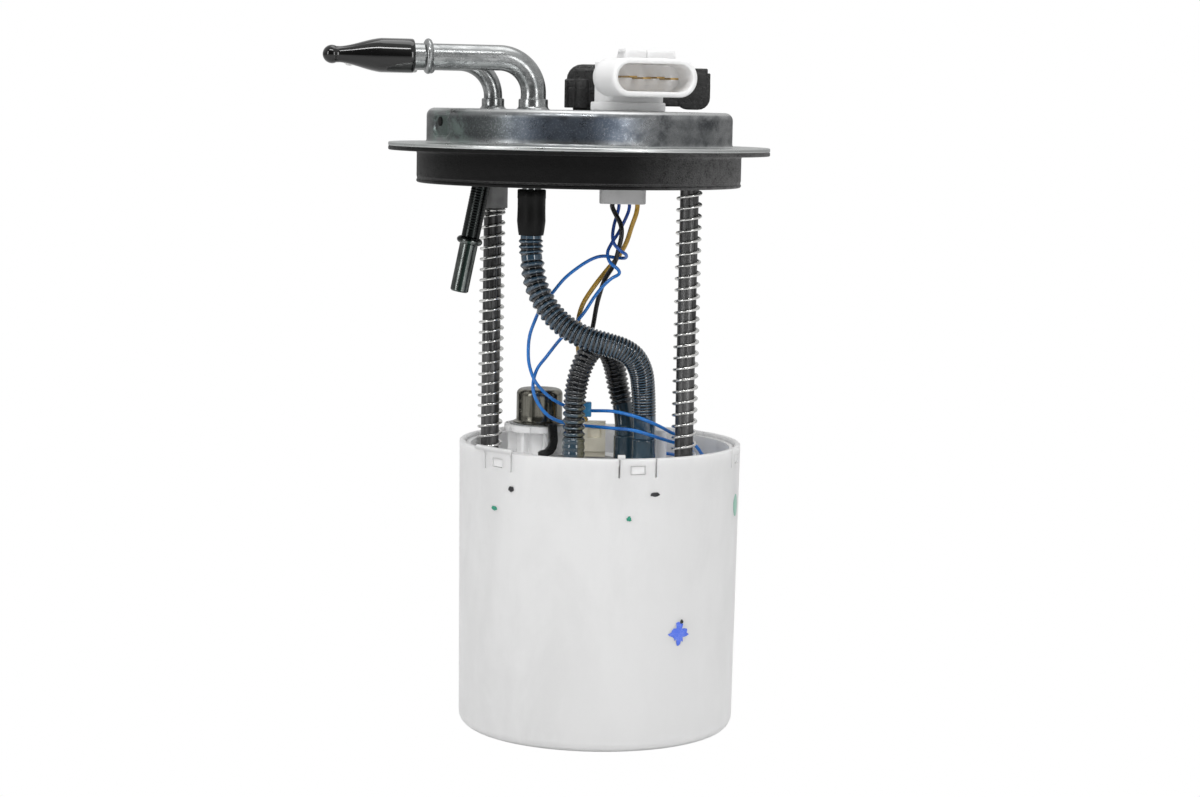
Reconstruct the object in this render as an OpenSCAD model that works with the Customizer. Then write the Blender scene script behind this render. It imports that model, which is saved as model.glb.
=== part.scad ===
// In-tank electric fuel pump module: a flanged cover on sprung guide rods, over a reservoir
// that holds the pump, its filter, the pressure regulator, a jet pump and a level sender.
// The origin is on the cover's axis, at the underside of the flange. +Z is up, -Y is the front.

/* [Cover and collar] */
// Radius of the clamped flange
flange_r = 72.5; // [68:0.5:80]
// Thickness of the pressed steel sheet
sheet = 1.5; // [1.0:0.1:2.0]
// Outer radius of the cover's pan
cover_r = 58.1; // [56:0.1:60]
// Height of the cover's top over the flange underside
cover_h = 16; // [12:0.5:20]
// Radius of the bend round the cover's top edge
cover_round = 3; // [2:0.5:5]
// Outer radius of the collar below the flange
collar_r = 61.7; // [60.6:0.1:64]
// How far the collar hangs below the flange underside
collar_drop = 12.1; // [8:0.1:16]
// Height of the collar's turned-in hem
hem_h = 1.9; // [1:0.1:3]
// Height of the pressed dimple on the cover's side
dimple_h = 9; // [6:0.5:10]
// Width of the pressed dimple
dimple_w = 7; // [4:0.5:8]
// Direction of the dimple on the cover's side, from +X
dimple_angle = 205; // [195:1:215]

/* [Fuel tubes] */
// Outer radius of the fuel outlet tube
outlet_r = 4.75; // [4:0.05:5]
// Outer radius of the fuel return tube
return_r = 3.5; // [3:0.1:4]
// Wall of both fuel tubes
tube_wall = 0.9; // [0.7:0.1:1.2]
// Height of the tubes' level runs over the flange underside
tube_z = 35; // [33:0.5:40]
// Radius of the bends at the tubes' middle line
bend_r = 13; // [11:0.5:14]
// Direction of the level runs, turned from -X towards the front
tube_yaw = 12; // [8:1:16]
// Length of the outlet tube from its bend's axis to its end
outlet_run = 58; // [54:1:64]
// Length of the return tube from its bend's axis to its end
return_run = 41; // [38:1:46]
// How far the retaining beads stand out of the tubes
bead_out = 1.85; // [1:0.05:2]
// Length of a retaining bead
bead_l = 3; // [2:0.1:4]
// Distance from the outlet bead's middle to the end of its tube
outlet_bead_back = 17.9; // [16:0.1:20]
// Distance from the return bead's middle to the end of its tube
return_bead_back = 17; // [15:0.1:19]
// Outer radius of the brazed ring round the outlet tube
outlet_ring_r = 5.9; // [5.5:0.1:7]
// Outer radius of the brazed ring round the return tube
return_ring_r = 4.7; // [4.4:0.1:5.2]
// Height of the brazed rings
ring_h = 4.3; // [3:0.1:6]
// Lean of the return tube's open end below the cover
stub_lean = 11; // [6:1:14]
// Depth of the return tube's open end below the flange underside
stub_drop = 54; // [46:1:60]
// Depth of the bead on the return tube's open end
stub_bead_drop = 34.4; // [30:0.2:40]
// Outer radius of the outlet nipple that carries the hose
nipple_r = 3.6; // [3.2:0.1:4]
// Depth of the outlet nipple's end
nipple_drop = 28; // [22:1:30]

/* [Shipping caps] */
// Outer radius of the outlet cap's sleeve
outlet_cap_r = 6.35; // [6:0.05:7]
// Length of the outlet cap
outlet_cap_l = 34; // [30:1:40]
// Outer radius of the return cap's sleeve
return_cap_r = 4.6; // [4.3:0.1:5]
// Length of the return cap
return_cap_l = 28; // [26:1:32]
// Gap between a bead's middle and its cap
cap_back = 5.3; // [3:0.1:7]
// Clearance of a cap on its tube
cap_gap = 0.08; // [0.02:0.01:0.1]

/* [Electrical connector] */
// Width of the connector's foot on the cover
foot_w = 29; // [26:0.5:30]
// Depth of the connector's foot
foot_d = 20; // [17:0.5:22]
// Height of the connector's foot
foot_h = 3.5; // [2:0.1:5]
// Width of the connector's neck
neck_w = 26.5; // [24:0.5:27]
// Depth of the connector's neck
neck_d = 14; // [12:0.5:16]
// Width of the plug shroud
shroud_w = 33.5; // [31:0.5:36]
// Height of the plug shroud
shroud_h = 14; // [13:0.5:16]
// Length of the plug shroud in front of the neck's middle
shroud_l = 27; // [24:1:30]
// Wall of the plug shroud
shroud_wall = 1.6; // [1.2:0.1:2]
// Depth of the plug socket
socket_d = 18; // [14:0.5:19]
// Turn of the plug shroud towards +X
shroud_yaw = 24; // [18:1:28]
// Gap between the foot and the shroud's underside
shroud_lift = 1.8; // [1:0.1:4]
// Height of the lock rail on the shroud
rail_h = 3.8; // [2:0.1:5]
// Width of the lock rail
rail_w = 22; // [18:0.5:24]
// Width of one blade terminal
blade_w = 2.8; // [2:0.1:3.5]
// Thickness of one blade terminal
blade_t = 0.8; // [0.5:0.1:1]
// Length of one blade terminal in the socket
blade_l = 10; // [8:0.5:14]
// Distance between neighbouring blade terminals
blade_pitch = 6; // [5:0.25:7]
// Width of the connector's lower boss
boss_w = 17.6; // [15:0.1:19]
// Depth of the connector's lower boss
boss_d = 12; // [10:0.5:14]
// Depth of the lower boss below the flange underside
boss_drop = 19; // [14:0.5:22]

/* [Pressure sensor] */
// Width of the pressure sensor from end to end
sensor_w = 56; // [52:1:58]
// Depth of the pressure sensor
sensor_d = 17; // [14:0.5:18]
// Height of the pressure sensor's body
sensor_h = 14; // [12:0.5:16]
// Outer radius of the sensor's rubber seal
seal_r = 8; // [7:0.5:9]

/* [Guide rods and springs] */
// Radius of the guide rods
rod_r = 3.5; // [3:0.1:4]
// Bottom end of the guide rods below the flange underside
rod_drop = 157; // [154:1:165]
// Outer radius of the rod seats
seat_r = 5.6; // [5.2:0.1:6]
// Bottom of the left rod's seat below the flange underside
left_seat_drop = 22; // [18:1:24]
// Bottom of the right rod's seat below the flange underside
right_seat_drop = 8; // [4:1:12]
// Thickness of the spring wire
spring_wire = 1.1; // [0.8:0.1:1.3]
// Clearance of a spring round its rod
spring_gap = 0.3; // [0.2:0.05:0.5]
// Turns of the left spring
left_turns = 25; // [20:1:28]
// Turns of the right spring
right_turns = 27; // [22:1:30]
// Radius of the stop clips on the rods
clip_r = 5.8; // [5.4:0.1:6]
// Thickness of the stop clips
clip_t = 1.2; // [0.8:0.1:1.6]

/* [Reservoir] */
// Outer radius of the reservoir at its rim
res_top_r = 54; // [53.5:0.1:55]
// Outer radius of the reservoir at its base
res_base_r = 53; // [52.5:0.1:53.5]
// Wall of the reservoir
res_wall = 2.2; // [1.8:0.1:2.5]
// Floor of the reservoir
res_floor = 2.5; // [2:0.1:3]
// Distance from the flange underside to the reservoir's rim
rim_drop = 110.2; // [108:0.2:112]
// Height of the reservoir
res_h = 110.3; // [108:0.5:116]
// Radius round the reservoir's bottom edge
res_round = 4.5; // [3:0.5:6]
// Number of snap latches round the rim
latches = 6; // [4:1:8]
// Width of a latch tongue
tongue_w = 14; // [11:0.5:16]
// Width of the slots beside a tongue
slot_w = 1; // [0.8:0.1:1.6]
// Depth of the slots from the rim
slot_d = 7; // [6:0.2:9]
// Width of a latch window
window_w = 5.8; // [5:0.2:8]
// Height of a latch window
window_h = 3.6; // [3:0.2:4.4]

/* [Carrier] */
// Distance from the rim down to the carrier's plate
plate_down = 17.7; // [17:0.1:19]
// Thickness of the carrier's plate
plate_t = 2.5; // [2:0.1:3]
// Clearance of the carrier in the reservoir
carrier_gap = 0.3; // [0.2:0.05:0.5]
// Wall of the carrier's rim
carrier_wall = 1.6; // [1.2:0.1:2]
// Outer radius of the rod sleeves
sleeve_r = 6.1; // [5.9:0.1:6.5]
// Wall of the rod bushes
bush_wall = 1; // [0.8:0.1:1.2]
// Length of the rod sleeves
sleeve_l = 31; // [26:1:32]
// Running clearance of the rods in their bushes
rod_fit = 0.05; // [0.02:0.01:0.09]

/* [Filter] */
// Outer radius of the filter housing
filter_r = 33; // [32:0.5:33.5]
// Wall of the filter housing
filter_wall = 2; // [1.6:0.1:2.4]
// Radius of the filter housing's bore round the pump
filter_bore_r = 20; // [19.5:0.1:20.5]
// Thickness of the filter lid
lid_t = 4; // [3:0.5:4.5]
// Number of pleats in the filter element
pleats = 30; // [20:1:40]
// Radius of the regulator tower on the lid
tower_r = 9; // [8.4:0.1:9.6]
// Radius of the regulator seat plate
reg_plate_r = 13.6; // [12.5:0.1:13.8]
// Height of the regulator seat's top over the lid
tower_h = 13.5; // [12:0.5:16]

/* [Regulator] */
// Radius of the regulator can
reg_r = 8.95; // [8:0.05:10]
// Height of the regulator can
reg_h = 13.8; // [12:0.1:16]
// Radius round the regulator can's top
reg_round = 2; // [1:0.25:3]

/* [Pump] */
// Outer radius of the pump shell
pump_r = 18; // [17:0.1:18.2]
// Wall of the pump shell
pump_wall = 1; // [0.8:0.1:1.2]
// Length of the pump shell
pump_l = 73; // [71:0.5:74]
// Radius of the pump's top neck
pump_neck_r = 12.7; // [12:0.1:13]
// Radius of the motor shaft
shaft_r = 1.6; // [1.4:0.1:2]
// Running clearance of the shaft in its bushes
shaft_fit = 0.05; // [0.02:0.01:0.09]
// Radius of the armature
armature_r = 12.6; // [11:0.1:12.8]
// Length of the armature
armature_l = 39; // [34:1:40]
// Thickness of the impeller
impeller_t = 3; // [2.4:0.1:3.4]
// Number of vanes on the impeller
vanes = 24; // [16:1:32]
// Width of the pump's wiring plug
plug_w = 8.5; // [7:0.1:9]
// Height of the pump's wiring plug
plug_h = 13.5; // [11:0.5:14]

/* [Strainer, jet pump and floor valve] */
// Radius of the inlet strainer
strainer_r = 15; // [12:0.5:16]
// Thickness of the inlet strainer
strainer_t = 7.5; // [6:0.5:9]
// Outer radius of the jet pump's feed tube
feed_r = 2.6; // [2.2:0.1:3]
// Outer radius of the jet pump's mixing tube
mixer_r = 3.6; // [3:0.1:4]
// Length of the jet pump's mixing tube
mixer_l = 34; // [28:1:38]
// Radius of the floor valve's rubber disc
valve_r = 6; // [5:0.5:8]

/* [Level sender] */
// Width of the sender bracket
bracket_w = 24; // [22:1:28]
// Height of the sender bracket
bracket_h = 52; // [46:1:56]
// Thickness of the sender bracket
bracket_t = 3; // [2:0.2:4]
// Distance from the rim down to the float arm's pivot
pivot_down = 40; // [38:1:44]
// Length of the float arm
arm_l = 58; // [50:1:60]
// Thickness of the float arm's wire
arm_d = 2.4; // [2:0.1:3]
// Angle of the hanging float arm from straight down
arm_rest = 15; // [10:1:25]
// Length of the float
float_l = 28; // [22:1:32]
// Height of the float
float_h = 14; // [10:1:14]
// Thickness of the float
float_t = 9.5; // [7:0.5:11]

/* [Hoses and wires] */
// Outer radius of the outlet hose
hose_r = 4.6; // [4:0.1:4.8]
// Outer radius of the pump hose
loop_r = 4.3; // [4:0.1:4.4]
// Outer radius of the black sleeve over the outlet nipple
sleeve_cuff_r = 5.4; // [5:0.1:6]
// Thickness of the black and yellow power wires
power_wire = 1.8; // [1.4:0.1:2]
// Thickness of the blue sender wires
sender_wire = 1.3; // [1:0.1:1.5]

/* [Hidden] */
$fn = 72;

// clearances and small steps
seat_gap = 0.05;
loose_gap = 0.3;
through = 1;
cover_top = cover_h;
cover_under = cover_h - sheet;

// places of the pieces on the cover, seen from above
outlet_at = [-17.6, -8];
return_at = [-33.2, 2.5];
connector_at = [17.8, -5];
boss_at = [16.8, -3];
sensor_at = [21.3, 25];
left_rod = [-33, 12];
right_rod = [41.8, -16];
return_level = -1.5;
stub_kink = 9;
into_bend = 1;
shoulder_z = cover_under - 8;
shoulder_h = 3;

// reservoir levels
res_at = [10, 0];
rim_z = -rim_drop;
base_z = rim_z - res_h;
floor_z = base_z + res_floor;
latch_first = -74.7;
window_down = 2.4;
rail_out = 1;
rail_x = 9;
rail_w2 = 4;
notch_w = 9;
notch_d = 15;
sender_angle = 75;

// carrier, filter and pump levels
plate_z = rim_z - plate_down;
// the bore is narrowest at the plate's underside, or at the rim where the wall leans inwards
res_lean = (res_top_r - res_base_r) / res_h;
carrier_r = res_top_r - max(res_lean, 0) * (plate_down + plate_t) - res_wall - carrier_gap;
carrier_top = rim_z - 1.4;
sleeve_up = 8.9;
sleeve_top = plate_z + sleeve_up;
pump_at = [4, -3];
housing_rim_t = 2.4;
housing_top = plate_z + plate_t + housing_rim_t;
lid_top = housing_top + lid_t;
pump_top = housing_top - 0.5;
shell_low = pump_top - pump_l;
housing_lip_t = 1.4;
housing_low = shell_low - seat_gap - housing_lip_t;
neck_top = lid_top + 2;
port_r = 5;
port_ring = 43;
port_angles = [-90, -65, 45, 65, 90, 115];
lid_r = filter_r + 2;
lid_post = [33.5, 2];
reg_at = [-13.8, 12];
tower_top = lid_top + tower_h;
reg_plate_t = 2.5;
reg_spigot_r = 5;
reg_lip_r = 10.4;
reg_lip_t = 0.9;

// hose ends
loop_in = [0, -12];
loop_out = [19.5, 1];
hose_in = [27.5, -9];
cuff_l = 9;
spigot_r = 2.6;
nipple_base = 2;
hose_top = -31.4;
sleeve_start = -14;
cuff_top = neck_top + cuff_l;

// pump details
cap_l = 7.5;
bush_r = 4;
bush_l = 4;
commutator_t = 3;
commutator_r = 9;
plate_thick = 4.5;
chamber_gap = 0.2;
inlet_off = 9;
inlet_r = 3.2;
magnet_gap = 0.5;
magnet_up = 7;
magnet_over = 1.5;
magnet_span = 130;
plate_low = shell_low + 6;
cap_low = pump_top - cap_l;
shaft_top = cap_low + bush_l - 0.5;
commutator_top = cap_low - 4;
armature_top = commutator_top - commutator_t - 0.5;
shaft_low = plate_low - impeller_t - 2 * chamber_gap - 1;
plug_at = [7.8, 5];
plug_d = 6;
inlet_low = shell_low - 4;

// strainer, jet pump and floor valve
jet_at = [47, 8];
valve_at = [-12, -28];
mixer_z = floor_z + 4.5;

// level sender, in a frame turned so that its +Y runs out of the reservoir
sender_out = max(res_top_r, res_base_r) + rail_out;
pivot_z = rim_z - pivot_down;
bracket_top = pivot_z + 26;
hub_r = 6;
hub_t = 3.4;
pin_r = 2;
pin_head_r = 3.4;
pin_head_t = 1;
card_w = 18;
card_h = 16;
card_t = 0.8;
card_up = 8;
hub_out = sender_out + bracket_t + loose_gap;
wire_out = hub_out + hub_t / 2 + 0.6;
float_out = wire_out + arm_d / 2 + loose_gap;

// routes of the hoses and wires, points chosen along their middle lines
outlet_route = [[-17.6, -8, -31.45], [-17.6, -8, -33], [-17.6, -8, -34.6],
    [-17.2, -8.4, -38], [-16, -9.5, -42.5], [-14.5, -11, -47],
    [-12.5, -13, -52.5], [-9, -15, -58.5], [-4, -17, -64], [2.5, -18.5, -68], [9, -19, -70.5],
    [16, -18.5, -72], [21.5, -16.5, -75], [25, -13.5, -80.5], [26.5, -11, -88],
    [27.3, -9.5, -97], [27.5, -9, -103.5], [27.5, -9, -105.7], [27.5, -9, -107.95]];
loop_route = [[0, -12, -107.95], [0, -12, -105.7], [0, -12, -103.5], [0, -12.5, -98],
    [0.5, -13, -89.5], [2.3, -12.5, -81.5],
    [5.2, -10, -75.5], [8.8, -5.5, -73], [12.3, -0.8, -75], [14.8, 2.2, -81],
    [16.6, 3.4, -89.5], [18.6, 2.4, -97.5], [19.5, 1, -103.5], [19.5, 1, -105.7],
    [19.5, 1, -107.95]];
black_route = [[13, -4, -19.05], [13, -4, -20.3], [14.2, -5, -22.8], [16.2, -6.5, -26.5],
    [16.7, -7.5, -30.5],
    [15.7, -7, -36], [14, -5.5, -42], [10.5, -1.5, -48.5], [8, 0.5, -57], [6.5, 1.5, -66],
    [5.5, 2, -72.5], [3.5, 3, -80], [2.5, 4, -88], [4, 5.5, -94.5], [7.5, 6, -98.5],
    [9.5, 5.2, -101], [9.6, 5, -102.3], [9.6, 5, -103.45]];
yellow_route = [[22.5, -4, -19.05], [22.5, -4, -20.3], [22, -4.4, -23], [20.5, -4, -27.5],
    [18.5, -2, -34],
    [15.5, 0.5, -39.5], [11.5, 1.5, -44.5], [6.5, -1, -51], [2.5, -3, -57.5],
    [0.5, -4.5, -64], [-0.5, -5, -72.5], [-1.5, -4.5, -81], [-1.5, -2.5, -89],
    [0, 0.5, -95], [3.4, 4, -99], [5.7, 5, -101.2], [6, 5, -102.3], [6, 5, -103.45]];
blue_route_a = [[15.5, -1, -19.05], [15.5, -1, -20.3], [15, -1.5, -22.8], [13.8, -4, -27],
    [13.3, -8.5, -31],
    [14, -11, -34], [16.5, -11, -36.5], [18.5, -8.5, -38], [18.2, -5, -39.5], [14.5, -3, -39.5],
    [10, -3.6, -39], [6, -4, -40], [1, -5, -43], [-4.5, -6, -47.5], [-9, -6.5, -53],
    [-13, -6.5, -58], [-15.5, -6.5, -63.5], [-17.5, -6.5, -69.5], [-18, -6.5, -75.5],
    [-17.5, -6.5, -81], [-15.5, -7, -86.5], [-12.5, -6, -90.5], [-8.5, -5, -94],
    [-3.5, -5, -96.5], [1, -5.5, -97.5], [6, -6.5, -98], [14.5, -11.5, -97.5],
    [22, -15.8, -98.5], [28, -15.8, -100.5], [33, -12.5, -103], [37, -9, -105.5],
    [42, -8.5, -107.5], [46, -7.5, -110], [49, -4, -114], [50.5, 8, -118], [46, 21, -119],
    [38.5, 33.5, -119.5], [30.3, 41.1, -119.5], [26.8, 45.8, -119.3], [26.2, 49, -119],
    [26.6, 52, -118.8], [27.2, 54.2, -119.4], [27.3, 54.9, -120.3], [27.3, 54.9, -121.2],
    [27.3, 54.9, -122.15]];
blue_route_b = [[19.5, -1.5, -19.05], [19.5, -1.5, -20.3], [19, -2, -22.5], [17.5, -3, -26],
    [15.5, -4, -30],
    [13, -5, -34], [11.5, -7.5, -37.5], [12.5, -9.5, -41], [15.5, -9.5, -43.5],
    [16, -7.3, -45.5], [13, -5.5, -47.5], [9.5, -4.8, -51], [6.5, -5.5, -55], [3, -7, -60.5],
    [-2, -8, -66.5], [-6.5, -8, -71.5], [-11, -7.5, -77.5], [-14.5, -5, -82.5],
    [-16, -4.5, -88], [-15.5, -4.5, -92.5], [-13.5, -4.5, -96.5], [-10.5, -5, -100],
    [-7, -5.5, -102], [-1.5, -5.5, -103.5], [4, -5.5, -104], [9, -8, -104],
    [14.5, -11.5, -104], [22, -15.8, -104], [28, -15.8, -105.5], [33, -12, -107.5],
    [37, -9, -109], [41.5, -8.5, -110.5], [45, -7.5, -112.5], [47, -1, -118], [48, 8, -121.3],
    [43.5, 20, -122], [36, 32, -122], [29, 41.5, -122], [25.6, 46, -121.8], [24, 49.4, -121.1],
    [22.9, 52.9, -120], [22.6, 55.3, -119.6], [22.6, 56.1, -120.3], [22.6, 56.1, -121.2],
    [22.6, 56.1, -122.15]];

// points of an arc about (x, y), from angle a to angle b
function arc(x, y, r, a, b, n = 8) =
    [for (i = [0:n]) let (t = a + (b - a) * i / n) [x + r * cos(t), y + r * sin(t)]];

// one point of a smooth curve through b and c
function between(a, b, c, d, t) = 0.5 * (2 * b + (c - a) * t
    + (2 * a - 5 * b + 4 * c - d) * t * t + (3 * b - a - 3 * c + d) * t * t * t);

// a route with n steps between neighbouring points
function smooth(p, n) = let (last = len(p) - 1) concat(
    [for (i = [0:last - 1], k = [0:n - 1])
        between(p[max(i - 1, 0)], p[i], p[i + 1], p[min(i + 2, last)], k / n)],
    [p[last]]);

function unit(v) = v / norm(v);
function across(n, t) = unit(n - (n * t) * t);
function headings(p) = let (last = len(p) - 1)
    [for (i = [0:last]) unit(p[min(i + 1, last)] - p[max(i - 1, 0)])];
function sides(t, n, i = 0) = i >= len(t) ? [] :
    let (m = across(n, t[i])) concat([m], sides(t, m, i + 1));

// a round bar of radius r along the points p, with flat ends
module bar(p, r, n = 8) {
    t = headings(p);
    s = sides(t, [0.1, 1, 0.05]);
    rings = len(p);
    points = [for (i = [0:rings - 1], k = [0:n - 1]) let (a = 360 * k / n)
        p[i] + r * (cos(a) * s[i] + sin(a) * cross(t[i], s[i]))];
    walls = [for (i = [0:rings - 2], k = [0:n - 1]) let (m = (k + 1) % n)
        [i * n + k, (i + 1) * n + k, (i + 1) * n + m, i * n + m]];
    low = [[for (k = [0:n - 1]) k]];
    high = [[for (k = [0:n - 1]) rings * n - 1 - k]];
    polyhedron(points, concat(walls, low, high), convexity = 10);
}

module at(p, z = 0) { translate([p[0], p[1], z]) children(); }

module tube(r, bore, h) {
    difference() {
        cylinder(r = r, h = h);
        translate([0, 0, -through]) cylinder(r = bore, h = h + 2 * through);
    }
}

// a block with round upright corners, centred on its own Z axis
module round_block(w, d, h, r) {
    translate([-w / 2 + r, -d / 2, 0]) cube([w - 2 * r, d, h]);
    translate([-w / 2, -d / 2 + r, 0]) cube([w, d - 2 * r, h]);
    for (x = [-1, 1], y = [-1, 1])
        translate([x * (w / 2 - r), y * (d / 2 - r), 0]) cylinder(r = r, h = h);
}

// a lying slab with half-round ends, from y = 0 to y = d, standing on z = 0
module oval_slab(w, h, d) {
    translate([-(w - h) / 2, 0, 0]) cube([w - h, d, h]);
    for (x = [-1, 1])
        translate([x * (w - h) / 2, 0, h / 2]) rotate([-90, 0, 0]) cylinder(r = h / 2, h = d);
}

// places a shape on the reservoir's wall, its +Y running outwards
module on_wall(angle) { at(res_at) rotate([0, 0, angle - 90]) children(); }

// runs a shape's +Z along a tube's level run
module along_run(start, z) {
    at(start, z) rotate([0, 0, tube_yaw]) rotate([0, -90, 0]) children();
}

// the outside or the bore of one bent fuel tube; its straight runs reach a little into the bend
module tube_line(start, z, run, r, low) {
    at(start, low) cylinder(r = r, h = z - bend_r - low + into_bend);
    at(start, z - bend_r) rotate([0, 0, tube_yaw]) translate([-bend_r, 0, 0]) rotate([90, 0, 0])
        rotate_extrude(angle = 90) translate([bend_r, 0]) circle(r = r + seat_gap);
    along_run(start, z) translate([0, 0, bend_r - into_bend])
        cylinder(r = r, h = run - bend_r + into_bend);
}

// a round bead pressed out of a tube of radius r, about z = 0
module bead(r) {
    inside = r - tube_wall / 2;
    rotate_extrude() polygon(concat([[inside, -bead_l / 2]],
        [for (a = [-80:20:80]) [r + bead_out * cos(a), bead_l / 2 * sin(a)]],
        [[inside, bead_l / 2]]));
}

module cover() {
    inner_round = cover_round - sheet;
    color("slategray") difference() {
        rotate_extrude() polygon(concat([[0, cover_top]],
            arc(cover_r - cover_round, cover_top - cover_round, cover_round, 90, 0),
            [[cover_r, 2 * sheet], [flange_r, 2 * sheet], [flange_r, sheet + seat_gap / 5],
             [cover_r - sheet, sheet + seat_gap / 5]],
            arc(cover_r - cover_round, cover_top - cover_round, max(inner_round, 0.3), 0, 90),
            [[0, cover_under]]));
        at(outlet_at, cover_under - through) cylinder(r = outlet_r + seat_gap, h = 2 * sheet + 1);
        at(return_at, cover_under - through) cylinder(r = return_r + seat_gap, h = 2 * sheet + 1);
        at(sensor_at, cover_under - through) cylinder(r = seal_r - 2, h = 2 * sheet + 1);
        at(boss_at, cover_under - through)
            round_block(boss_w + 2 * seat_gap, boss_d + 2 * seat_gap, 2 * sheet + 1, 3);
        rotate([0, 0, dimple_angle + 90]) dimple_cut();
    }
}

// an upright oval recess and its small pin hole, in the cover's side
module dimple_cut() {
    low = (2 * sheet + cover_top - cover_round - dimple_h) / 2 + 1.4;
    half = dimple_w / 2;
    depth = sheet / 3;
    translate([0, -cover_r + depth, low]) rotate([90, 0, 0]) {
        translate([-half, half, 0]) cube([dimple_w, dimple_h - dimple_w, 4]);
        for (z = [half, dimple_h - half]) translate([0, z, 0]) cylinder(r = half, h = 4);
    }
    translate([-1, -cover_r + 2 * sheet, low + dimple_h / 2]) rotate([90, 0, 0])
        cylinder(r = 1, h = 4 * sheet);
}

module collar() {
    color("dimgray") rotate_extrude() polygon([[collar_r - sheet, sheet], [flange_r, sheet],
        [flange_r, 0], [collar_r, 0], [collar_r, -collar_drop],
        [collar_r - 2 * sheet, -collar_drop], [collar_r - 2 * sheet, hem_h - collar_drop],
        [collar_r - sheet, hem_h - collar_drop]]);
}

module outlet_tube() {
    color("silver") difference() {
        union() {
            tube_line(outlet_at, tube_z, outlet_run, outlet_r, shoulder_z);
            at(outlet_at, shoulder_z - shoulder_h)
                cylinder(r1 = nipple_r, r2 = outlet_r, h = shoulder_h);
            at(outlet_at, -nipple_drop) cylinder(r = nipple_r, h = nipple_drop + shoulder_z - 1);
            for (z = [sleeve_start - 4, sleeve_start - 9])
                at(outlet_at, z) cylinder(r1 = nipple_r, r2 = nipple_r + 0.4, h = 2);
            along_run(outlet_at, tube_z) translate([0, 0, outlet_run - outlet_bead_back])
                bead(outlet_r);
        }
        tube_line(outlet_at, tube_z, outlet_run + through, outlet_r - tube_wall, shoulder_z);
        at(outlet_at, -nipple_drop - through)
            cylinder(r = nipple_r - tube_wall, h = nipple_drop + shoulder_z + 2 * through);
    }
}

module outlet_ring() {
    color("silver") at(outlet_at, cover_top) difference() {
        union() {
            cylinder(r = outlet_ring_r, h = ring_h * 0.6);
            translate([0, 0, ring_h * 0.6])
                cylinder(r1 = outlet_ring_r, r2 = outlet_r + 0.4, h = ring_h * 0.4);
        }
        translate([0, 0, -through]) cylinder(r = outlet_r + seat_gap, h = ring_h + 2);
    }
}

// the bend from the upright to the leaning end, and the leaning end itself
module stub_bend(r) {
    at(return_at, stub_kink) translate([-bend_r, 0, 0]) rotate([-90, 0, 0])
        rotate_extrude(angle = stub_lean) translate([bend_r, 0]) circle(r = r + seat_gap);
}

module along_stub() {
    at(return_at, stub_kink)
        translate([bend_r * (cos(stub_lean) - 1), 0, -bend_r * sin(stub_lean)])
            rotate([0, 180 + stub_lean, 0]) children();
}

module return_tube() {
    stub_top = stub_kink - bend_r * sin(stub_lean);
    length = (stub_top + stub_drop) / cos(stub_lean);
    bead_at = (stub_top + stub_bead_drop) / cos(stub_lean);
    color("silver") difference() {
        union() {
            tube_line(return_at, tube_z + return_level, return_run, return_r,
                stub_kink - into_bend);
            stub_bend(return_r);
            along_stub() translate([0, 0, -into_bend])
                cylinder(r = return_r, h = length + into_bend);
            along_stub() translate([0, 0, bead_at]) bead(return_r - 0.4);
            along_run(return_at, tube_z + return_level)
                translate([0, 0, return_run - return_bead_back]) bead(return_r - 0.6);
        }
        tube_line(return_at, tube_z + return_level, return_run + through,
            return_r - tube_wall, stub_kink - into_bend);
        stub_bend(return_r - tube_wall);
        along_stub() translate([0, 0, -into_bend])
            cylinder(r = return_r - tube_wall, h = length + into_bend + through);
    }
}

module return_ring() {
    color("silver") at(return_at, cover_top) difference() {
        union() {
            cylinder(r = return_ring_r, h = ring_h * 0.6);
            translate([0, 0, ring_h * 0.6])
                cylinder(r1 = return_ring_r, r2 = return_r + 0.3, h = ring_h * 0.4);
        }
        translate([0, 0, -through]) cylinder(r = return_r + seat_gap, h = ring_h + 2);
    }
}

module facing_plug() { at(connector_at) rotate([0, 0, shroud_yaw]) children(); }

shroud_low = cover_top + foot_h + shroud_lift;
shroud_top = shroud_low + shroud_h;
socket_mid = shroud_low + shroud_h / 2;

module connector_body() {
    color("ghostwhite") difference() {
        union() {
            at(connector_at, cover_top) round_block(foot_w, foot_d, foot_h, 4);
            at(connector_at, cover_top) round_block(neck_w, neck_d, foot_h + shroud_lift + 3, 3);
            facing_plug() translate([0, -shroud_l, shroud_low])
                oval_slab(shroud_w, shroud_h, shroud_l + neck_d / 2 - 1);
            facing_plug() translate([-rail_w / 2, -shroud_l + 5, shroud_top - 2])
                cube([rail_w, shroud_l - 5, rail_h + 2]);
            at(boss_at, -boss_drop) round_block(boss_w, boss_d, boss_drop + cover_top + 1, 3);
        }
        facing_plug() translate([0, -shroud_l - through, shroud_low + shroud_wall])
            oval_slab(shroud_w - 2 * shroud_wall, shroud_h - 2 * shroud_wall,
                socket_d + through);
        facing_plug() translate([-rail_w * 0.05 - 1, -shroud_l, shroud_top + rail_h / 2])
            cube([2.4, shroud_l * 0.7, rail_h]);
        facing_plug() blade_row(seat_gap, 3);
    }
}

// the four blades, or the slots that they stand in
module blade_row(gap, root) {
    for (i = [0:3])
        translate([(i - 1.5) * blade_pitch - blade_w / 2 - gap,
            -shroud_l + socket_d - blade_l, socket_mid - blade_t / 2 - gap])
            cube([blade_w + 2 * gap, blade_l + root + gap, blade_t + 2 * gap]);
}

module connector_blades() { color("goldenrod") facing_plug() blade_row(0, 3); }

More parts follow.
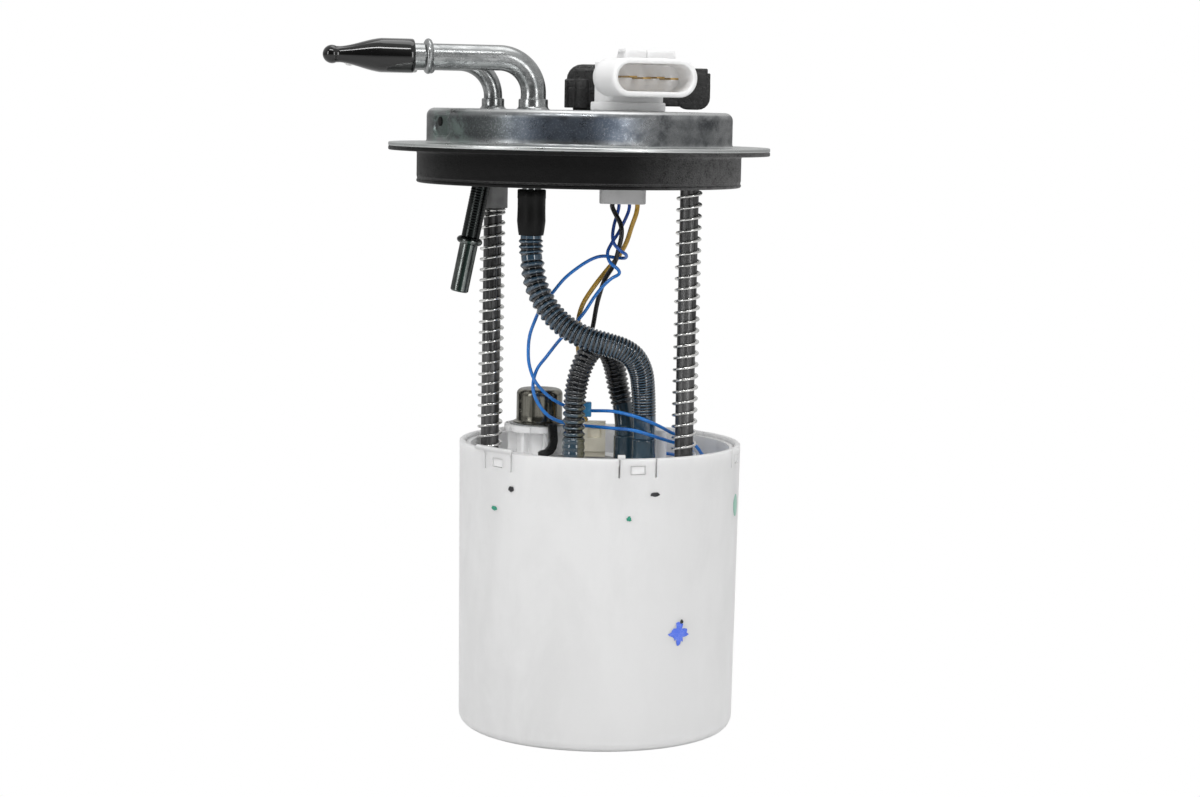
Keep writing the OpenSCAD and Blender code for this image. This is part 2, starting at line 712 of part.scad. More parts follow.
module pressure_sensor() {
    lift = 2;
    z = cover_top + lift;
    color("black") at(sensor_at) difference() {
        union() {
            translate([0, 0, z]) cylinder(r = 13, h = sensor_h + 1);
            translate([-sensor_w / 2 + 3, -sensor_d / 2, z]) cube([sensor_w - 8, sensor_d, sensor_h]);
            translate([-sensor_w / 2, -sensor_d / 2 + 1.5, z + 4])
                cube([4, sensor_d - 3, sensor_h - 5]);
            translate([sensor_w / 2 - 6, sensor_d / 2, z + sensor_h / 2]) rotate([90, 0, 0])
                cylinder(r = sensor_h / 2, h = sensor_d);
            translate([sensor_w / 2 - 6, -sensor_d / 2, z + sensor_h / 2])
                cube([6, sensor_d, sensor_h / 2]);
            translate([0, 0, cover_under - 3]) cylinder(r = seal_r - 4, h = lift + 4 + sheet);
        }
        translate([-sensor_w / 2 + 9, -sensor_d / 2 - through, z - through])
            cube([2.5, 2 + through, sensor_h - 1]);
        translate([0, 0, cover_under - 4]) cylinder(r = 1.5, h = 8);
    }
}

module sensor_seal() {
    color("dimgray") at(sensor_at) difference() {
        union() {
            translate([0, 0, cover_top]) cylinder(r = seal_r, h = 2);
            translate([0, 0, cover_under - 1.5])
                cylinder(r = seal_r - 2 - seat_gap, h = sheet + 2.5);
        }
        translate([0, 0, cover_under - 2]) cylinder(r = seal_r - 4 + seat_gap, h = sheet + 6);
    }
}

module guide_rod(p) {
    at(p, -rod_drop + 1) cylinder(r = rod_r, h = rod_drop - 1 + cover_under);
    at(p, -rod_drop) cylinder(r1 = rod_r - 1, r2 = rod_r, h = 1);
}

module guide_rod_left() { color("gray") guide_rod(left_rod); }
module guide_rod_right() { color("gray") guide_rod(right_rod); }

module rod_seat(p, drop) {
    at(p, -drop) difference() {
        union() {
            cylinder(r = seat_r, h = drop + cover_under);
            translate([0, 0, drop + cover_under - 3]) cylinder(r = seat_r + 1.5, h = 3);
        }
        translate([0, 0, -through]) cylinder(r = rod_r + seat_gap, h = drop + cover_h + 2);
        at([-p[0], -p[1]], drop) along_stub() cylinder(r = return_r + loose_gap, h = 60);
        at(return_at - p, drop + stub_kink - 3) cylinder(r = return_r + loose_gap, h = cover_h);
    }
}

module rod_seat_left() { color("lightgray") rod_seat(left_rod, left_seat_drop); }
module rod_seat_right() { color("lightgray") rod_seat(right_rod, right_seat_drop); }

module rod_clips() {
    z = sleeve_top - sleeve_l - clip_t - seat_gap * 4;
    color("dimgray") for (p = [left_rod, right_rod]) at(p, z) difference() {
        cylinder(r = clip_r, h = clip_t);
        translate([0, 0, -through]) cylinder(r = rod_r + seat_gap, h = 4);
        translate([0, -clip_r - 1, -through]) translate([-1.5, 0, 0]) cube([3, clip_r, 4]);
    }
}

// the outlet hose's sleeve over the nipple
module outlet_sleeve() {
    color("black") at(outlet_at, hose_top) difference() {
        cylinder(r = sleeve_cuff_r, h = sleeve_start - hose_top);
        translate([0, 0, -through]) cylinder(r = nipple_r - tube_wall, h = 10);
        translate([0, 0, -hose_top - nipple_drop - seat_gap])
            cylinder(r = nipple_r + 0.4 + seat_gap, h = nipple_drop + 1);
    }
}

// middle line of a coil spring with closed ends
function coil(p, low, high, turns, r) = let (steps = 12, closed = spring_wire,
    open = (high - low - 3 * closed) / (turns - 2))
    [for (i = [0:turns * steps]) let (t = i / steps, a = 360 * t)
        [p[0] + r * cos(a), p[1] + r * sin(a), low + closed / 2 + closed * min(t, 1)
            + open * max(0, min(t - 1, turns - 2)) + closed * max(0, t - turns + 1)]];

module spring(p, high, turns) {
    r = rod_r + spring_gap + spring_wire / 2;
    bar(coil(p, sleeve_top + seat_gap, high - seat_gap, turns, r), spring_wire / 2, 6);
}

module spring_left() { color("gray") spring(left_rod, -left_seat_drop, left_turns); }
module spring_right() { color("gray") spring(right_rod, -right_seat_drop, right_turns); }

module outlet_hose() { color("slategray") bar(smooth(outlet_route, 2), hose_r, 12); }
module pump_hose() { color("midnightblue") bar(smooth(loop_route, 2), loop_r, 12); }
module black_wire() { color("black") bar(black_route, power_wire / 2); }
module yellow_wire() { color("goldenrod") bar(yellow_route, power_wire / 2); }
module blue_wire_a() { color("royalblue") bar(blue_route_a, sender_wire / 2); }
module blue_wire_b() { color("royalblue") bar(blue_route_b, sender_wire / 2); }

// a tapered shipping cap with a ball tip, its mouth at z = 0
module shipping_cap(r, bore, length, depth) {
    tip = r * 0.55;
    neck = r * 0.4;
    straight = length * 0.37;
    slope = length * 0.37;
    difference() {
        union() {
            cylinder(r = r, h = straight);
            translate([0, 0, straight]) cylinder(r1 = r, r2 = neck, h = slope);
            translate([0, 0, straight]) cylinder(r = neck, h = length - straight - tip);
            translate([0, 0, length - tip]) sphere(r = tip);
        }
        translate([0, 0, -through]) cylinder(r = bore, h = depth + through);
    }
}

module outlet_cap() {
    start = outlet_run - outlet_bead_back + cap_back;
    color("black") along_run(outlet_at, tube_z) translate([0, 0, start])
        shipping_cap(outlet_cap_r, outlet_r + cap_gap, outlet_cap_l, outlet_run - start + 0.5);
}

module return_cap() {
    start = return_run - return_bead_back + cap_back;
    color("whitesmoke") along_run(return_at, tube_z + return_level) translate([0, 0, start])
        shipping_cap(return_cap_r, return_r + cap_gap, return_cap_l, return_run - start + 0.5);
}

function latch_angle(i) = latch_first + 360 * i / latches;

module reservoir() {
    inner_top = res_top_r - res_wall;
    inner_low = res_base_r - res_wall;
    color("white") difference() {
        union() {
            at(res_at) rotate_extrude() polygon(concat([[0, base_z]],
                arc(res_base_r - res_round, base_z + res_round, res_round, -90, 0),
                [[res_top_r, rim_z], [inner_top, rim_z]],
                arc(inner_low - 2, floor_z + 2, 2, 0, -90, 4), [[0, floor_z]]));
            on_wall(sender_angle) for (x = [-1, 1])
                translate([x * rail_x - rail_w2 / 2, res_top_r - res_wall, pivot_z - 20])
                    cube([rail_w2, res_wall + rail_out, 46]);
        }
        for (i = [0:latches - 1]) on_wall(latch_angle(i)) {
            for (x = [-1, 1])
                translate([x * tongue_w / 2 - slot_w / 2, res_top_r - 6, rim_z - slot_d])
                    cube([slot_w, 8, slot_d + 1]);
            translate([-window_w / 2, res_top_r - 6, rim_z - window_down - window_h])
                cube([window_w, 8, window_h]);
        }
        on_wall(sender_angle) translate([-notch_w / 2, res_top_r - 6, rim_z - notch_d])
            cube([notch_w, 10, notch_d + 1]);
        at(valve_at, base_z - 1) cylinder(r = 1.5 + seat_gap, h = res_floor + 2);
        at(valve_at, base_z - 1) cylinder(r = 4, h = 2);
        for (a = [0:90:270]) at(valve_at, base_z - 1) rotate([0, 0, a])
            translate([3.6, 0, 0]) cylinder(r = 0.9, h = res_floor + 2);
    }
}

// cuts away what would stand in the rod sleeves' way
module sleeve_room(z, h) {
    for (p = [left_rod, right_rod]) at(p, z) cylinder(r = sleeve_r + loose_gap, h = h);
}

module carrier() {
    nib_w = window_w - 0.6;
    nib_h = window_h - 0.6;
    color("snow") difference() {
        union() {
            at(res_at, plate_z) tube(carrier_r, carrier_r - carrier_wall, carrier_top - plate_z);
            at(res_at, plate_z) cylinder(r = carrier_r, h = plate_t);
            for (p = [left_rod, right_rod])
                at(p, sleeve_top - sleeve_l) cylinder(r = sleeve_r, h = sleeve_l);
            for (i = [0:latches - 1]) on_wall(latch_angle(i))
                translate([-nib_w / 2, carrier_r - 1, rim_z - window_down - window_h + 0.3])
                    cube([nib_w, res_top_r - carrier_r + 0.5, nib_h]);
        }
        for (p = [left_rod, right_rod]) at(p, sleeve_top - sleeve_l - 1)
            cylinder(r = rod_r + rod_fit + bush_wall + seat_gap, h = sleeve_l + 2);
        at(pump_at, plate_z - 1) cylinder(r = filter_r + loose_gap, h = plate_t + 2);
        for (a = port_angles) at(res_at, plate_z - 1) rotate([0, 0, a])
            translate([port_ring, 0, 0]) cylinder(r = port_r, h = plate_t + 2);
        at(jet_at, plate_z - 1) cylinder(r = feed_r - 1, h = plate_t + 2);
        on_wall(sender_angle) translate([-notch_w / 2, res_top_r - 10, plate_z + plate_t])
            cube([notch_w, 14, 20]);
    }
}

module guide_bushes() {
    color("ivory") for (p = [left_rod, right_rod]) at(p, sleeve_top - sleeve_l)
        tube(rod_r + rod_fit + bush_wall, rod_r + rod_fit, sleeve_l);
}

module filter_housing() {
    color("white") difference() {
        union() {
            at(pump_at) rotate_extrude() polygon([[filter_r, housing_top],
                [filter_r, housing_low], [pump_r - 2, housing_low],
                [pump_r - 2, housing_low + housing_lip_t],
                [filter_bore_r, housing_low + housing_lip_t],
                [filter_bore_r, housing_top], [filter_bore_r + filter_wall, housing_top],
                [filter_bore_r + filter_wall, housing_low + 4], [filter_r - filter_wall,
                housing_low + 4], [filter_r - filter_wall, housing_top]]);
            at(pump_at, housing_top - housing_rim_t)
                tube(filter_r + 3, filter_r - filter_wall / 2, housing_rim_t);
        }
        sleeve_room(housing_top - 5, 10);
    }
}

// outline of a pleated ring between two radii
function star(r, depth, n) = [for (i = [0:2 * n - 1]) let (a = 180 * i / n,
    q = r - (i % 2) * depth) [q * cos(a), q * sin(a)]];

module filter_element() {
    out = filter_r - filter_wall - 1;
    low = housing_low + 4.5;
    color("wheat") at(pump_at, low) linear_extrude(height = housing_top - 2 - low) difference() {
        polygon(star(out, 6, pleats));
        polygon(star(out - 1.2, 6, pleats));
    }
}

module filter_lid() {
    color("snow") difference() {
        union() {
            at(pump_at, housing_top) cylinder(r = lid_r, h = lid_t);
            at(reg_at, lid_top - 1) cylinder(r = tower_r, h = tower_h + 1 - reg_plate_t);
            at(reg_at, tower_top - reg_plate_t) cylinder(r = reg_plate_r, h = reg_plate_t);
            at(reg_at) for (a = [15:45:330]) rotate([0, 0, a])
                translate([tower_r - 1, -0.7, neck_top + 0.5])
                    cube([reg_plate_r - tower_r - 0.2, 1.4, tower_top - neck_top - 2]);
            for (p = [loop_out, hose_in]) {
                at(p, lid_top - 1) cylinder(r = loop_r, h = 1 + neck_top - lid_top);
                at(p, lid_top) cylinder(r = spigot_r, h = nipple_base + cuff_l - 1);
            }
            at(lid_post, lid_top - 1) cylinder(r = 2.2, h = 14);
        }
        sleeve_room(housing_top - 5, 10 + lid_t);
        at(pump_at, housing_top - 1)
            cylinder(r = pump_neck_r + loose_gap, h = neck_top - housing_top + 2);
        at(reg_at, lid_top) cylinder(r = reg_spigot_r + seat_gap, h = tower_h + 2);
        at(reg_at, tower_top - reg_plate_t - through) for (a = [38:45:340]) rotate([0, 0, a])
            translate([reg_plate_r - 1.6, -1.5, 0]) cube([3, 3, 5]);
        for (p = [loop_out, hose_in]) at(p, housing_top - 1)
            cylinder(r = spigot_r - 1, h = lid_t + nipple_base + cuff_l + 2);
    }
}

// the smooth lower ends of the hoses, pushed on their nipples
module hose_cuffs() {
    color("midnightblue") {
        for (p = [loop_in, loop_out]) at(p, neck_top)
            tube(loop_r, spigot_r + seat_gap, cuff_l);
        at(hose_in, neck_top) tube(hose_r, spigot_r + seat_gap, cuff_l);
    }
}

module regulator_can() {
    color("silver") at(reg_at) rotate_extrude() polygon(concat([[0, tower_top - 8],
        [reg_spigot_r - 0.8, tower_top - 8], [reg_spigot_r - 0.8, tower_top - 5],
        [reg_spigot_r, tower_top - 5], [reg_spigot_r, tower_top], [reg_lip_r, tower_top],
        [reg_lip_r, tower_top + reg_lip_t], [reg_r, tower_top + reg_lip_t + 0.4]],
        arc(reg_r - reg_round, tower_top + reg_h - reg_round, reg_round, 0, 90),
        [[0, tower_top + reg_h]]));
}

module regulator_seal() {
    color("dimgray") at(reg_at, tower_top - 7.6)
        tube(reg_spigot_r - 0.1, reg_spigot_r - 0.8 + seat_gap, 2);
}

module regulator_clip() {
    at_edge = reg_plate_r + seat_gap;
    low = neck_top + 0.4;
    color("black") at(reg_at) rotate([0, 0, 21.4]) {
        translate([-1.9, -at_edge - 1.6, low]) cube([3.8, 1.6, tower_top - low + 1.5]);
        translate([-1.9, -at_edge - 0.5, tower_top + seat_gap]) cube([3.8, 2.6, 1.45]);
        translate([-6, -at_edge - 1.6, low]) cube([6, 1.6, 2]);
    }
}

module pump_shell() {
    color("silver") at(pump_at) rotate_extrude() polygon([[pump_r - 3, pump_top],
        [pump_r, pump_top], [pump_r, shell_low], [pump_r - 2, shell_low],
        [pump_r - 2, shell_low + pump_wall], [pump_r - pump_wall, shell_low + pump_wall],
        [pump_r - pump_wall, pump_top - pump_wall], [pump_r - 3, pump_top - pump_wall]]);
}

core_r = pump_r - pump_wall - seat_gap;

module pump_end_cap() {
    color("tan") difference() {
        union() {
            at(pump_at, cap_low) cylinder(r = core_r, h = pump_top - cap_low - pump_wall - seat_gap);
            at(pump_at, cap_low) cylinder(r = pump_neck_r, h = neck_top - cap_low);
            at(loop_in, neck_top) cylinder(r = spigot_r, h = cuff_l - 1);
        }
        at(pump_at, cap_low - 1) cylinder(r = bush_r + seat_gap, h = bush_l + 1 + seat_gap);
        at(loop_in, cap_low - 1) cylinder(r = spigot_r - 1, h = 40);
        at(pump_at, cap_low - 1) for (y = [-1, 1]) translate([-2.1, y * 6.6 - 2.1, 0])
            cube([4.2, 4.2, 5.1]);
    }
}

module pump_brushes() {
    color("black") at(pump_at, commutator_top + seat_gap) for (y = [-1, 1])
        translate([-2, y * 6.6 - 2, 0]) cube([4, 4, cap_low + 4 - commutator_top - seat_gap]);
}

module pump_plate() {
    color("tan") at(pump_at, plate_low) difference() {
        cylinder(r = core_r, h = plate_thick);
        translate([0, 0, -1]) cylinder(r = shaft_r + 2 * seat_gap, h = plate_thick + 2);
        translate([0, 0, plate_thick - bush_l]) cylinder(r = bush_r + seat_gap, h = bush_l + 1);
        translate([-inlet_off, 0, -1]) cylinder(r = 2.5, h = plate_thick + 2);
    }
}

module pump_inlet_cover() {
    cavity = impeller_t + 2 * chamber_gap;
    low = shell_low + pump_wall + seat_gap;
    color("tan") at(pump_at) difference() {
        union() {
            translate([0, 0, low]) cylinder(r = core_r, h = plate_low - low);
            translate([0, 0, inlet_low])
                cylinder(r = pump_r - 2 - loose_gap, h = low - inlet_low + 1);
        }
        translate([0, 0, plate_low - cavity]) cylinder(r = core_r - 1.8, h = cavity + 1);
        translate([0, 0, plate_low - cavity - 1.5]) cylinder(r = shaft_r + 0.4, h = 3);
        translate([inlet_off, 0, inlet_low - 1]) cylinder(r = inlet_r, h = 10);
    }
}

module pump_magnets() {
    low = plate_low + plate_thick + magnet_up;
    color("dimgray") at(pump_at, low) for (a = [0, 180])
        rotate([0, 0, a - magnet_span / 2]) rotate_extrude(angle = magnet_span)
            translate([armature_r + magnet_gap, 0])
                square([core_r - armature_r - magnet_gap, armature_top + magnet_over - low]);
}

module pump_bushes() {
    color("peru") {
        at(pump_at, cap_low) tube(bush_r, shaft_r + shaft_fit, bush_l);
        at(pump_at, plate_low + plate_thick - bush_l) tube(bush_r, shaft_r + shaft_fit, bush_l);
    }
}

module pump_plug() {
    color("wheat") at(plug_at, neck_top) difference() {
        translate([-plug_w / 2, -plug_d / 2, 0]) cube([plug_w, plug_d, plug_h]);
        translate([-plug_w / 2 + 1.6, -plug_d / 2 - 1, plug_h - 6])
            cube([plug_w - 3.2, 2, 3.6]);
        translate([-plug_w / 2 - 1, -plug_d / 2 - 1, -1]) cube([plug_w + 2, 2, 3]);
    }
}

module pump_isolator() {
    color("black") at(pump_at, shell_low + 6)
        tube(filter_bore_r - seat_gap, pump_r + seat_gap, 10);
}

module strainer() {
    half = strainer_t / 2;
    color("whitesmoke") {
        at(pump_at, floor_z) rotate_extrude() polygon(concat([[0, seat_gap]],
            arc(strainer_r - half, half + seat_gap, half, -90, 90),
            [[0, strainer_t + seat_gap]]));
        at(pump_at, floor_z + strainer_t) translate([inlet_off - 2, 0, 0])
            cylinder(r = inlet_r + 1.4, h = inlet_low - floor_z - strainer_t);
    }
}

module jet_pump() {
    low = jet_at[1] + 6 - mixer_l;
    color("wheat") difference() {
        union() {
            translate([jet_at[0], jet_at[1] + 6, mixer_z]) rotate([90, 0, 0])
                cylinder(r = mixer_r, h = mixer_l);
            at(jet_at, mixer_z) cylinder(r = feed_r, h = plate_z - mixer_z);
            translate([jet_at[0] - 5, jet_at[1] - 10, floor_z]) cube([10, 16, mixer_z - floor_z]);
        }
        translate([jet_at[0], jet_at[1] + 2, mixer_z]) rotate([90, 0, 0])
            cylinder(r = mixer_r - 1.2, h = mixer_l + 1);
        at(jet_at, mixer_z) cylinder(r = feed_r - 1, h = plate_z - mixer_z + 1);
    }
}

module floor_valve() {
    color("dimgray") at(valve_at) {
        translate([0, 0, floor_z + seat_gap]) cylinder(r1 = valve_r, r2 = 2.5, h = 1.4);
        translate([0, 0, base_z + 0.5]) cylinder(r = 1.5, h = res_floor + 0.5);
        translate([0, 0, base_z + 0.2]) cylinder(r = 2.2, h = 0.75);
    }
}

module sender_bracket() {
    color("ivory") on_wall(sender_angle) difference() {
        union() {
            translate([-bracket_w / 2, sender_out, bracket_top - bracket_h])
                cube([bracket_w, bracket_t, bracket_h]);
            translate([-5, sender_out, bracket_top - 2]) cube([10, bracket_t + 2, 4]);
        }
        translate([0, sender_out - 1, pivot_z]) rotate([-90, 0, 0])
            cylinder(r = pin_r + 0.02, h = bracket_t + 2);
        translate([-bracket_w / 2 + 4, sender_out - 1, bracket_top - bracket_h + 3])
            cube([bracket_w - 8, bracket_t + 2, 10]);
    }
}

module sender_card() {
    color("darkgreen") on_wall(sender_angle)
        translate([-card_w / 2, sender_out + bracket_t, pivot_z + card_up])
            cube([card_w, card_t, card_h]);
}

module sender_pin() {
    reach = bracket_t + loose_gap + hub_t + loose_gap;
    color("silver") on_wall(sender_angle) translate([0, sender_out, pivot_z])
        rotate([-90, 0, 0]) {
            cylinder(r = pin_r, h = reach + 0.5);
            translate([0, 0, reach]) cylinder(r = pin_head_r, h = pin_head_t);
        }
}

module pump_shaft() {
    color("silver") at(pump_at, shaft_low) cylinder(r = shaft_r, h = shaft_top - shaft_low);
}

module pump_armature() {
    color("firebrick") at(pump_at, armature_top - armature_l) difference() {
        cylinder(r = armature_r, h = armature_l);
        translate([0, 0, -1]) cylinder(r = shaft_r + seat_gap / 2, h = armature_l + 2);
        for (a = [0:45:315]) rotate([0, 0, a])
            translate([armature_r - 5, -0.8, -1]) cube([8, 1.6, armature_l + 2]);
    }
}

module pump_commutator() {
    color("peru") at(pump_at, commutator_top - commutator_t)
        tube(commutator_r, shaft_r + seat_gap / 2, commutator_t);
}

module pump_impeller() {
    r = core_r - 1.8 - loose_gap;
    color("tan") at(pump_at, plate_low - impeller_t - chamber_gap) difference() {
        cylinder(r = r, h = impeller_t);
        translate([0, 0, -1]) cylinder(r = shaft_r + seat_gap / 2, h = impeller_t + 2);
        for (i = [0:vanes - 1]) rotate([0, 0, 360 * i / vanes])
            translate([r - 2.4, -0.7, -1]) cube([3, 1.4, impeller_t + 2]);
    }
}

// the float arm's own direction at rest, its +Z running down the arm
module down_arm() {
    on_wall(sender_angle) translate([0, wire_out, pivot_z]) rotate([0, 180 + arm_rest, 0])
        children();
}

module float_hub() {
    color("white") difference() {
        on_wall(sender_angle) union() {
            translate([0, hub_out, pivot_z]) rotate([-90, 0, 0]) cylinder(r = hub_r, h = hub_t);
            translate([-1.5, hub_out + card_t, pivot_z]) cube([3, 1, card_up + card_h / 2]);
        }
        on_wall(sender_angle) translate([0, hub_out - 1, pivot_z]) rotate([-90, 0, 0])
            cylinder(r = pin_r + 0.05, h = hub_t + 2);
        down_arm() translate([0, 0, pin_r + 1]) cylinder(r = arm_d / 2 + seat_gap, h = hub_r);
    }
}

module float_wire() {
    start = pin_r + 1.1;
    color("silver") down_arm() {
        translate([0, 0, start]) cylinder(r = arm_d / 2, h = arm_l - start);
        translate([0, 0, arm_l]) sphere(r = arm_d / 2);
        translate([0, 0, arm_l]) rotate([-90, 0, 0])
            cylinder(r = arm_d / 2, h = float_out - wire_out + float_t + 1);
    }
}

module float_block() {
    half = float_h / 2;
    out = float_out - wire_out;
    color("dimgray") down_arm() translate([0, out, arm_l]) difference() {
        rotate([0, 180 + arm_rest, 0]) translate([0, 0, -half])
            oval_slab(float_l, float_h, float_t);
        translate([0, -1, 0]) rotate([-90, 0, 0])
            cylinder(r = arm_d / 2 + seat_gap, h = float_t + 2);
    }
}

cover();
collar();
outlet_tube();
outlet_ring();
return_tube();
return_ring();
connector_body();
connector_blades();
pressure_sensor();
sensor_seal();
guide_rod_left();
guide_rod_right();
rod_seat_left();
rod_seat_right();
rod_clips();
outlet_sleeve();
spring_left();
spring_right();
outlet_hose();
black_wire();
yellow_wire();
blue_wire_a();
blue_wire_b();
outlet_cap();
return_cap();
reservoir();
carrier();
guide_bushes();
filter_housing();
filter_element();
filter_lid();
hose_cuffs();
pump_hose();
regulator_can();
regulator_seal();
regulator_clip();
pump_shell();
pump_end_cap();
pump_plate();
pump_inlet_cover();
pump_magnets();
pump_bushes();
pump_brushes();
pump_plug();
pump_isolator();
strainer();
jet_pump();
floor_valve();
sender_bracket();
sender_card();
sender_pin();
pump_shaft();
pump_armature();
pump_commutator();
pump_impeller();
float_hub();
float_wire();
float_block();
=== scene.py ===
from collections import namedtuple
from math import ceil, cos, hypot, pi, radians, sin

import bmesh
import bpy
from mathutils import Matrix, Vector


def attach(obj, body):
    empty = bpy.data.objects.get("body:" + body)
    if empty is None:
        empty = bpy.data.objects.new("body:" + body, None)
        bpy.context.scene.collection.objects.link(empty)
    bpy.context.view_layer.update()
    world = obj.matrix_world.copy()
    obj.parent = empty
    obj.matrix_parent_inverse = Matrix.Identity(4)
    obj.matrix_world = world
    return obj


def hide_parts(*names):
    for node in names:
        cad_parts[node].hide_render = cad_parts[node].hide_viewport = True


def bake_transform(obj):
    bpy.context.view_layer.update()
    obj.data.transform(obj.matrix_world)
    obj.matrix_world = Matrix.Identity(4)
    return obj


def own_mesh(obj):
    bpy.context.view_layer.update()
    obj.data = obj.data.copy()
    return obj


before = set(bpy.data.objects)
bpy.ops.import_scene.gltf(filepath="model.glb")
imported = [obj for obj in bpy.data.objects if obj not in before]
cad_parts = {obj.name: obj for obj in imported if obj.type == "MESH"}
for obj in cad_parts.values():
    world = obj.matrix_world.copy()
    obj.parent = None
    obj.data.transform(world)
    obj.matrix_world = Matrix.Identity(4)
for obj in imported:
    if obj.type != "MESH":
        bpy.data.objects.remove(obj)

bl_info = {
    "name": "Fuel pump module pieces",
    "version": (1, 0, 0),
    "blender": (4, 5, 0),
    "location": "3D view > Sidebar > Fuel pump",
    "description": "Builds the visible pieces, finishes and stage of an in-tank fuel pump module",
    "category": "Add Mesh",
}

MM = 0.001
FLANGE, RESERVOIR = "flange_unit", "reservoir_unit"

# places and sizes in millimetres and degrees, nearly all of them the CAD's own
COVER_TOP, COVER_UNDER, COVER_R = 16.0, 14.5, 58.1
# a fuel tube's foot, its level run's height and end, and how far back from the end its bead is
Tube = namedtuple("Tube", "foot height reach bead_back")
OUTLET = Tube(Vector((-17.6, -8, 0)), 35.0, 58.0, 17.9)
RETURN = Tube(Vector((-33.2, 2.5, 0)), 33.5, 41.0, 17.0)
TUBE_YAW, TUBE_BEND = 12, 13.0
RUN = Vector((-cos(radians(TUBE_YAW)), -sin(radians(TUBE_YAW)), 0))
STUB_LEAN, STUB_BEAD_Z, STUB_END_Z = 11, -34.4, -54
SOCKET, SOCKET_YAW, SOCKET_DEPTH = Vector((17.0, -5.2, 0)), 24, 11.5
BOSS_Z, SLEEVE_Z = -19, -31.4
# each rod's axis, and its spring's top and turns
RODS = {"left": (Vector((-33, 12, 0)), -22.05, 25), "right": (Vector((41.8, -16, 0)), -8.05, 27)}
ROD_R, ROD_END_Z, SPRING_Z = 3.5, -157, -118.95
TANK = Vector((10, 0, 0))
RIM_Z, BASE_Z, TOP_R, BASE_R, WALL = -110.2, -220.5, 54.0, 53.0, 2.2
LATCHES = [-74.7 + 60 * i for i in range(6)]
NOTCH_ANGLE = 75
CARRIER_Z, CUFF_TOP, TOWER_TOP = -117, -108, -105.5
REGULATOR, REGULATOR_YAW = Vector((-13.8, 12, 0)), 21.4

# middle lines of the hoses and wires
OUTLET_ROUTE = [(-17.6, -8, -31.45), (-17.6, -8, -34), (-17.4, -8.1, -38), (-16.8, -8.6, -43),
    (-15.9, -9.4, -48), (-14.1, -10.8, -53), (-10.7, -13, -58.5), (-6, -15.2, -63.5),
    (-0.2, -17.1, -67.3), (6, -18.5, -69.8), (12.5, -18.9, -71.5), (18, -18.1, -73.4),
    (22.3, -16.2, -76.6), (25, -13.5, -82), (26, -11.2, -88.5), (26.5, -9.6, -97),
    (26.7, -9, -103.5), (26.7, -9, -107.95)]
LOOP_ROUTE = [(0, -12, -107.95), (0, -12, -105.7), (0, -12, -103.5), (0, -12.5, -98),
    (0.5, -13, -89.5), (2.3, -12.5, -81.5), (5.2, -10, -75.5), (8.8, -5.5, -73),
    (12.3, -0.8, -75), (14.8, 2.2, -81), (16.6, 3.4, -89.5), (18.6, 2.4, -97.5),
    (19.5, 1, -103.5), (19.5, 1, -105.7), (19.5, 1, -107.95)]
BLACK_ROUTE = [(13, -4, -19.05), (13, -4, -20.3), (14.2, -5, -22.8), (16.2, -6.5, -26.5),
    (16.7, -7.5, -30.5), (15.7, -7, -36), (14, -5.5, -42), (10.5, -1.5, -48.5), (8, 0.5, -57),
    (6.5, 1.5, -66), (5, 2.5, -72.5), (3.2, 4, -80), (1.8, 5.5, -88), (1.4, 6.6, -95),
    (2.4, 6.8, -100), (3.9, 6.6, -102.3), (4.6, 6.5, -103.45)]
YELLOW_ROUTE = [(22.5, -4, -19.05), (22.5, -4, -20.3), (22, -4.4, -23), (20.5, -4, -27.5),
    (18.5, -2, -34), (15.5, 0.5, -39.5), (11.5, 1.5, -44.5), (6.5, -1, -51), (2.5, -3, -57.5),
    (0.8, -4.5, -64), (0.9, -5, -72.5), (1.4, -4.5, -81), (0.6, -2.5, -89), (0.6, 0.5, -95),
    (2, 3.4, -99.5), (3.8, 4.2, -102.3), (4.4, 4.2, -103.45)]
BLUE_ROUTE_A = [(15.5, -1, -19.05), (15.5, -1, -20.3), (15, -1.5, -22.8), (13.8, -4, -27),
    (13.3, -8.5, -31), (14, -11, -34), (16.5, -11, -36.5), (18.5, -8.5, -38), (18.2, -5, -39.5),
    (14.5, -3, -39.5), (10, -3.6, -39), (6, -4, -40), (1, -5, -43), (-4.5, -6, -47.5),
    (-9, -6.5, -53), (-13, -6.5, -58), (-15.5, -6.5, -63.5), (-17.5, -6.5, -69.5),
    (-18, -6.5, -75.5), (-17.5, -6.5, -81), (-15.5, -7, -86.5), (-12.5, -6, -90.5),
    (-8.5, -5, -94), (-3.5, -5, -96.5), (1, -5.5, -97.5), (6, -6.5, -98), (14.5, -11.5, -97.5),
    (22, -15.8, -98.5), (28, -15.8, -100.5), (33, -12.5, -103), (37, -9, -105.5),
    (42, -8.5, -107.5), (46, -7.5, -110), (49, -4, -114), (50.5, 8, -118), (46, 21, -119),
    (38.5, 33.5, -119.5), (30.3, 41.1, -119.5), (26.8, 45.8, -119.3), (26.2, 49, -119),
    (26.6, 52, -118.8), (27.2, 54.2, -119.4), (27.3, 54.9, -120.3), (27.3, 54.9, -121.2),
    (27.3, 54.9, -122.15)]
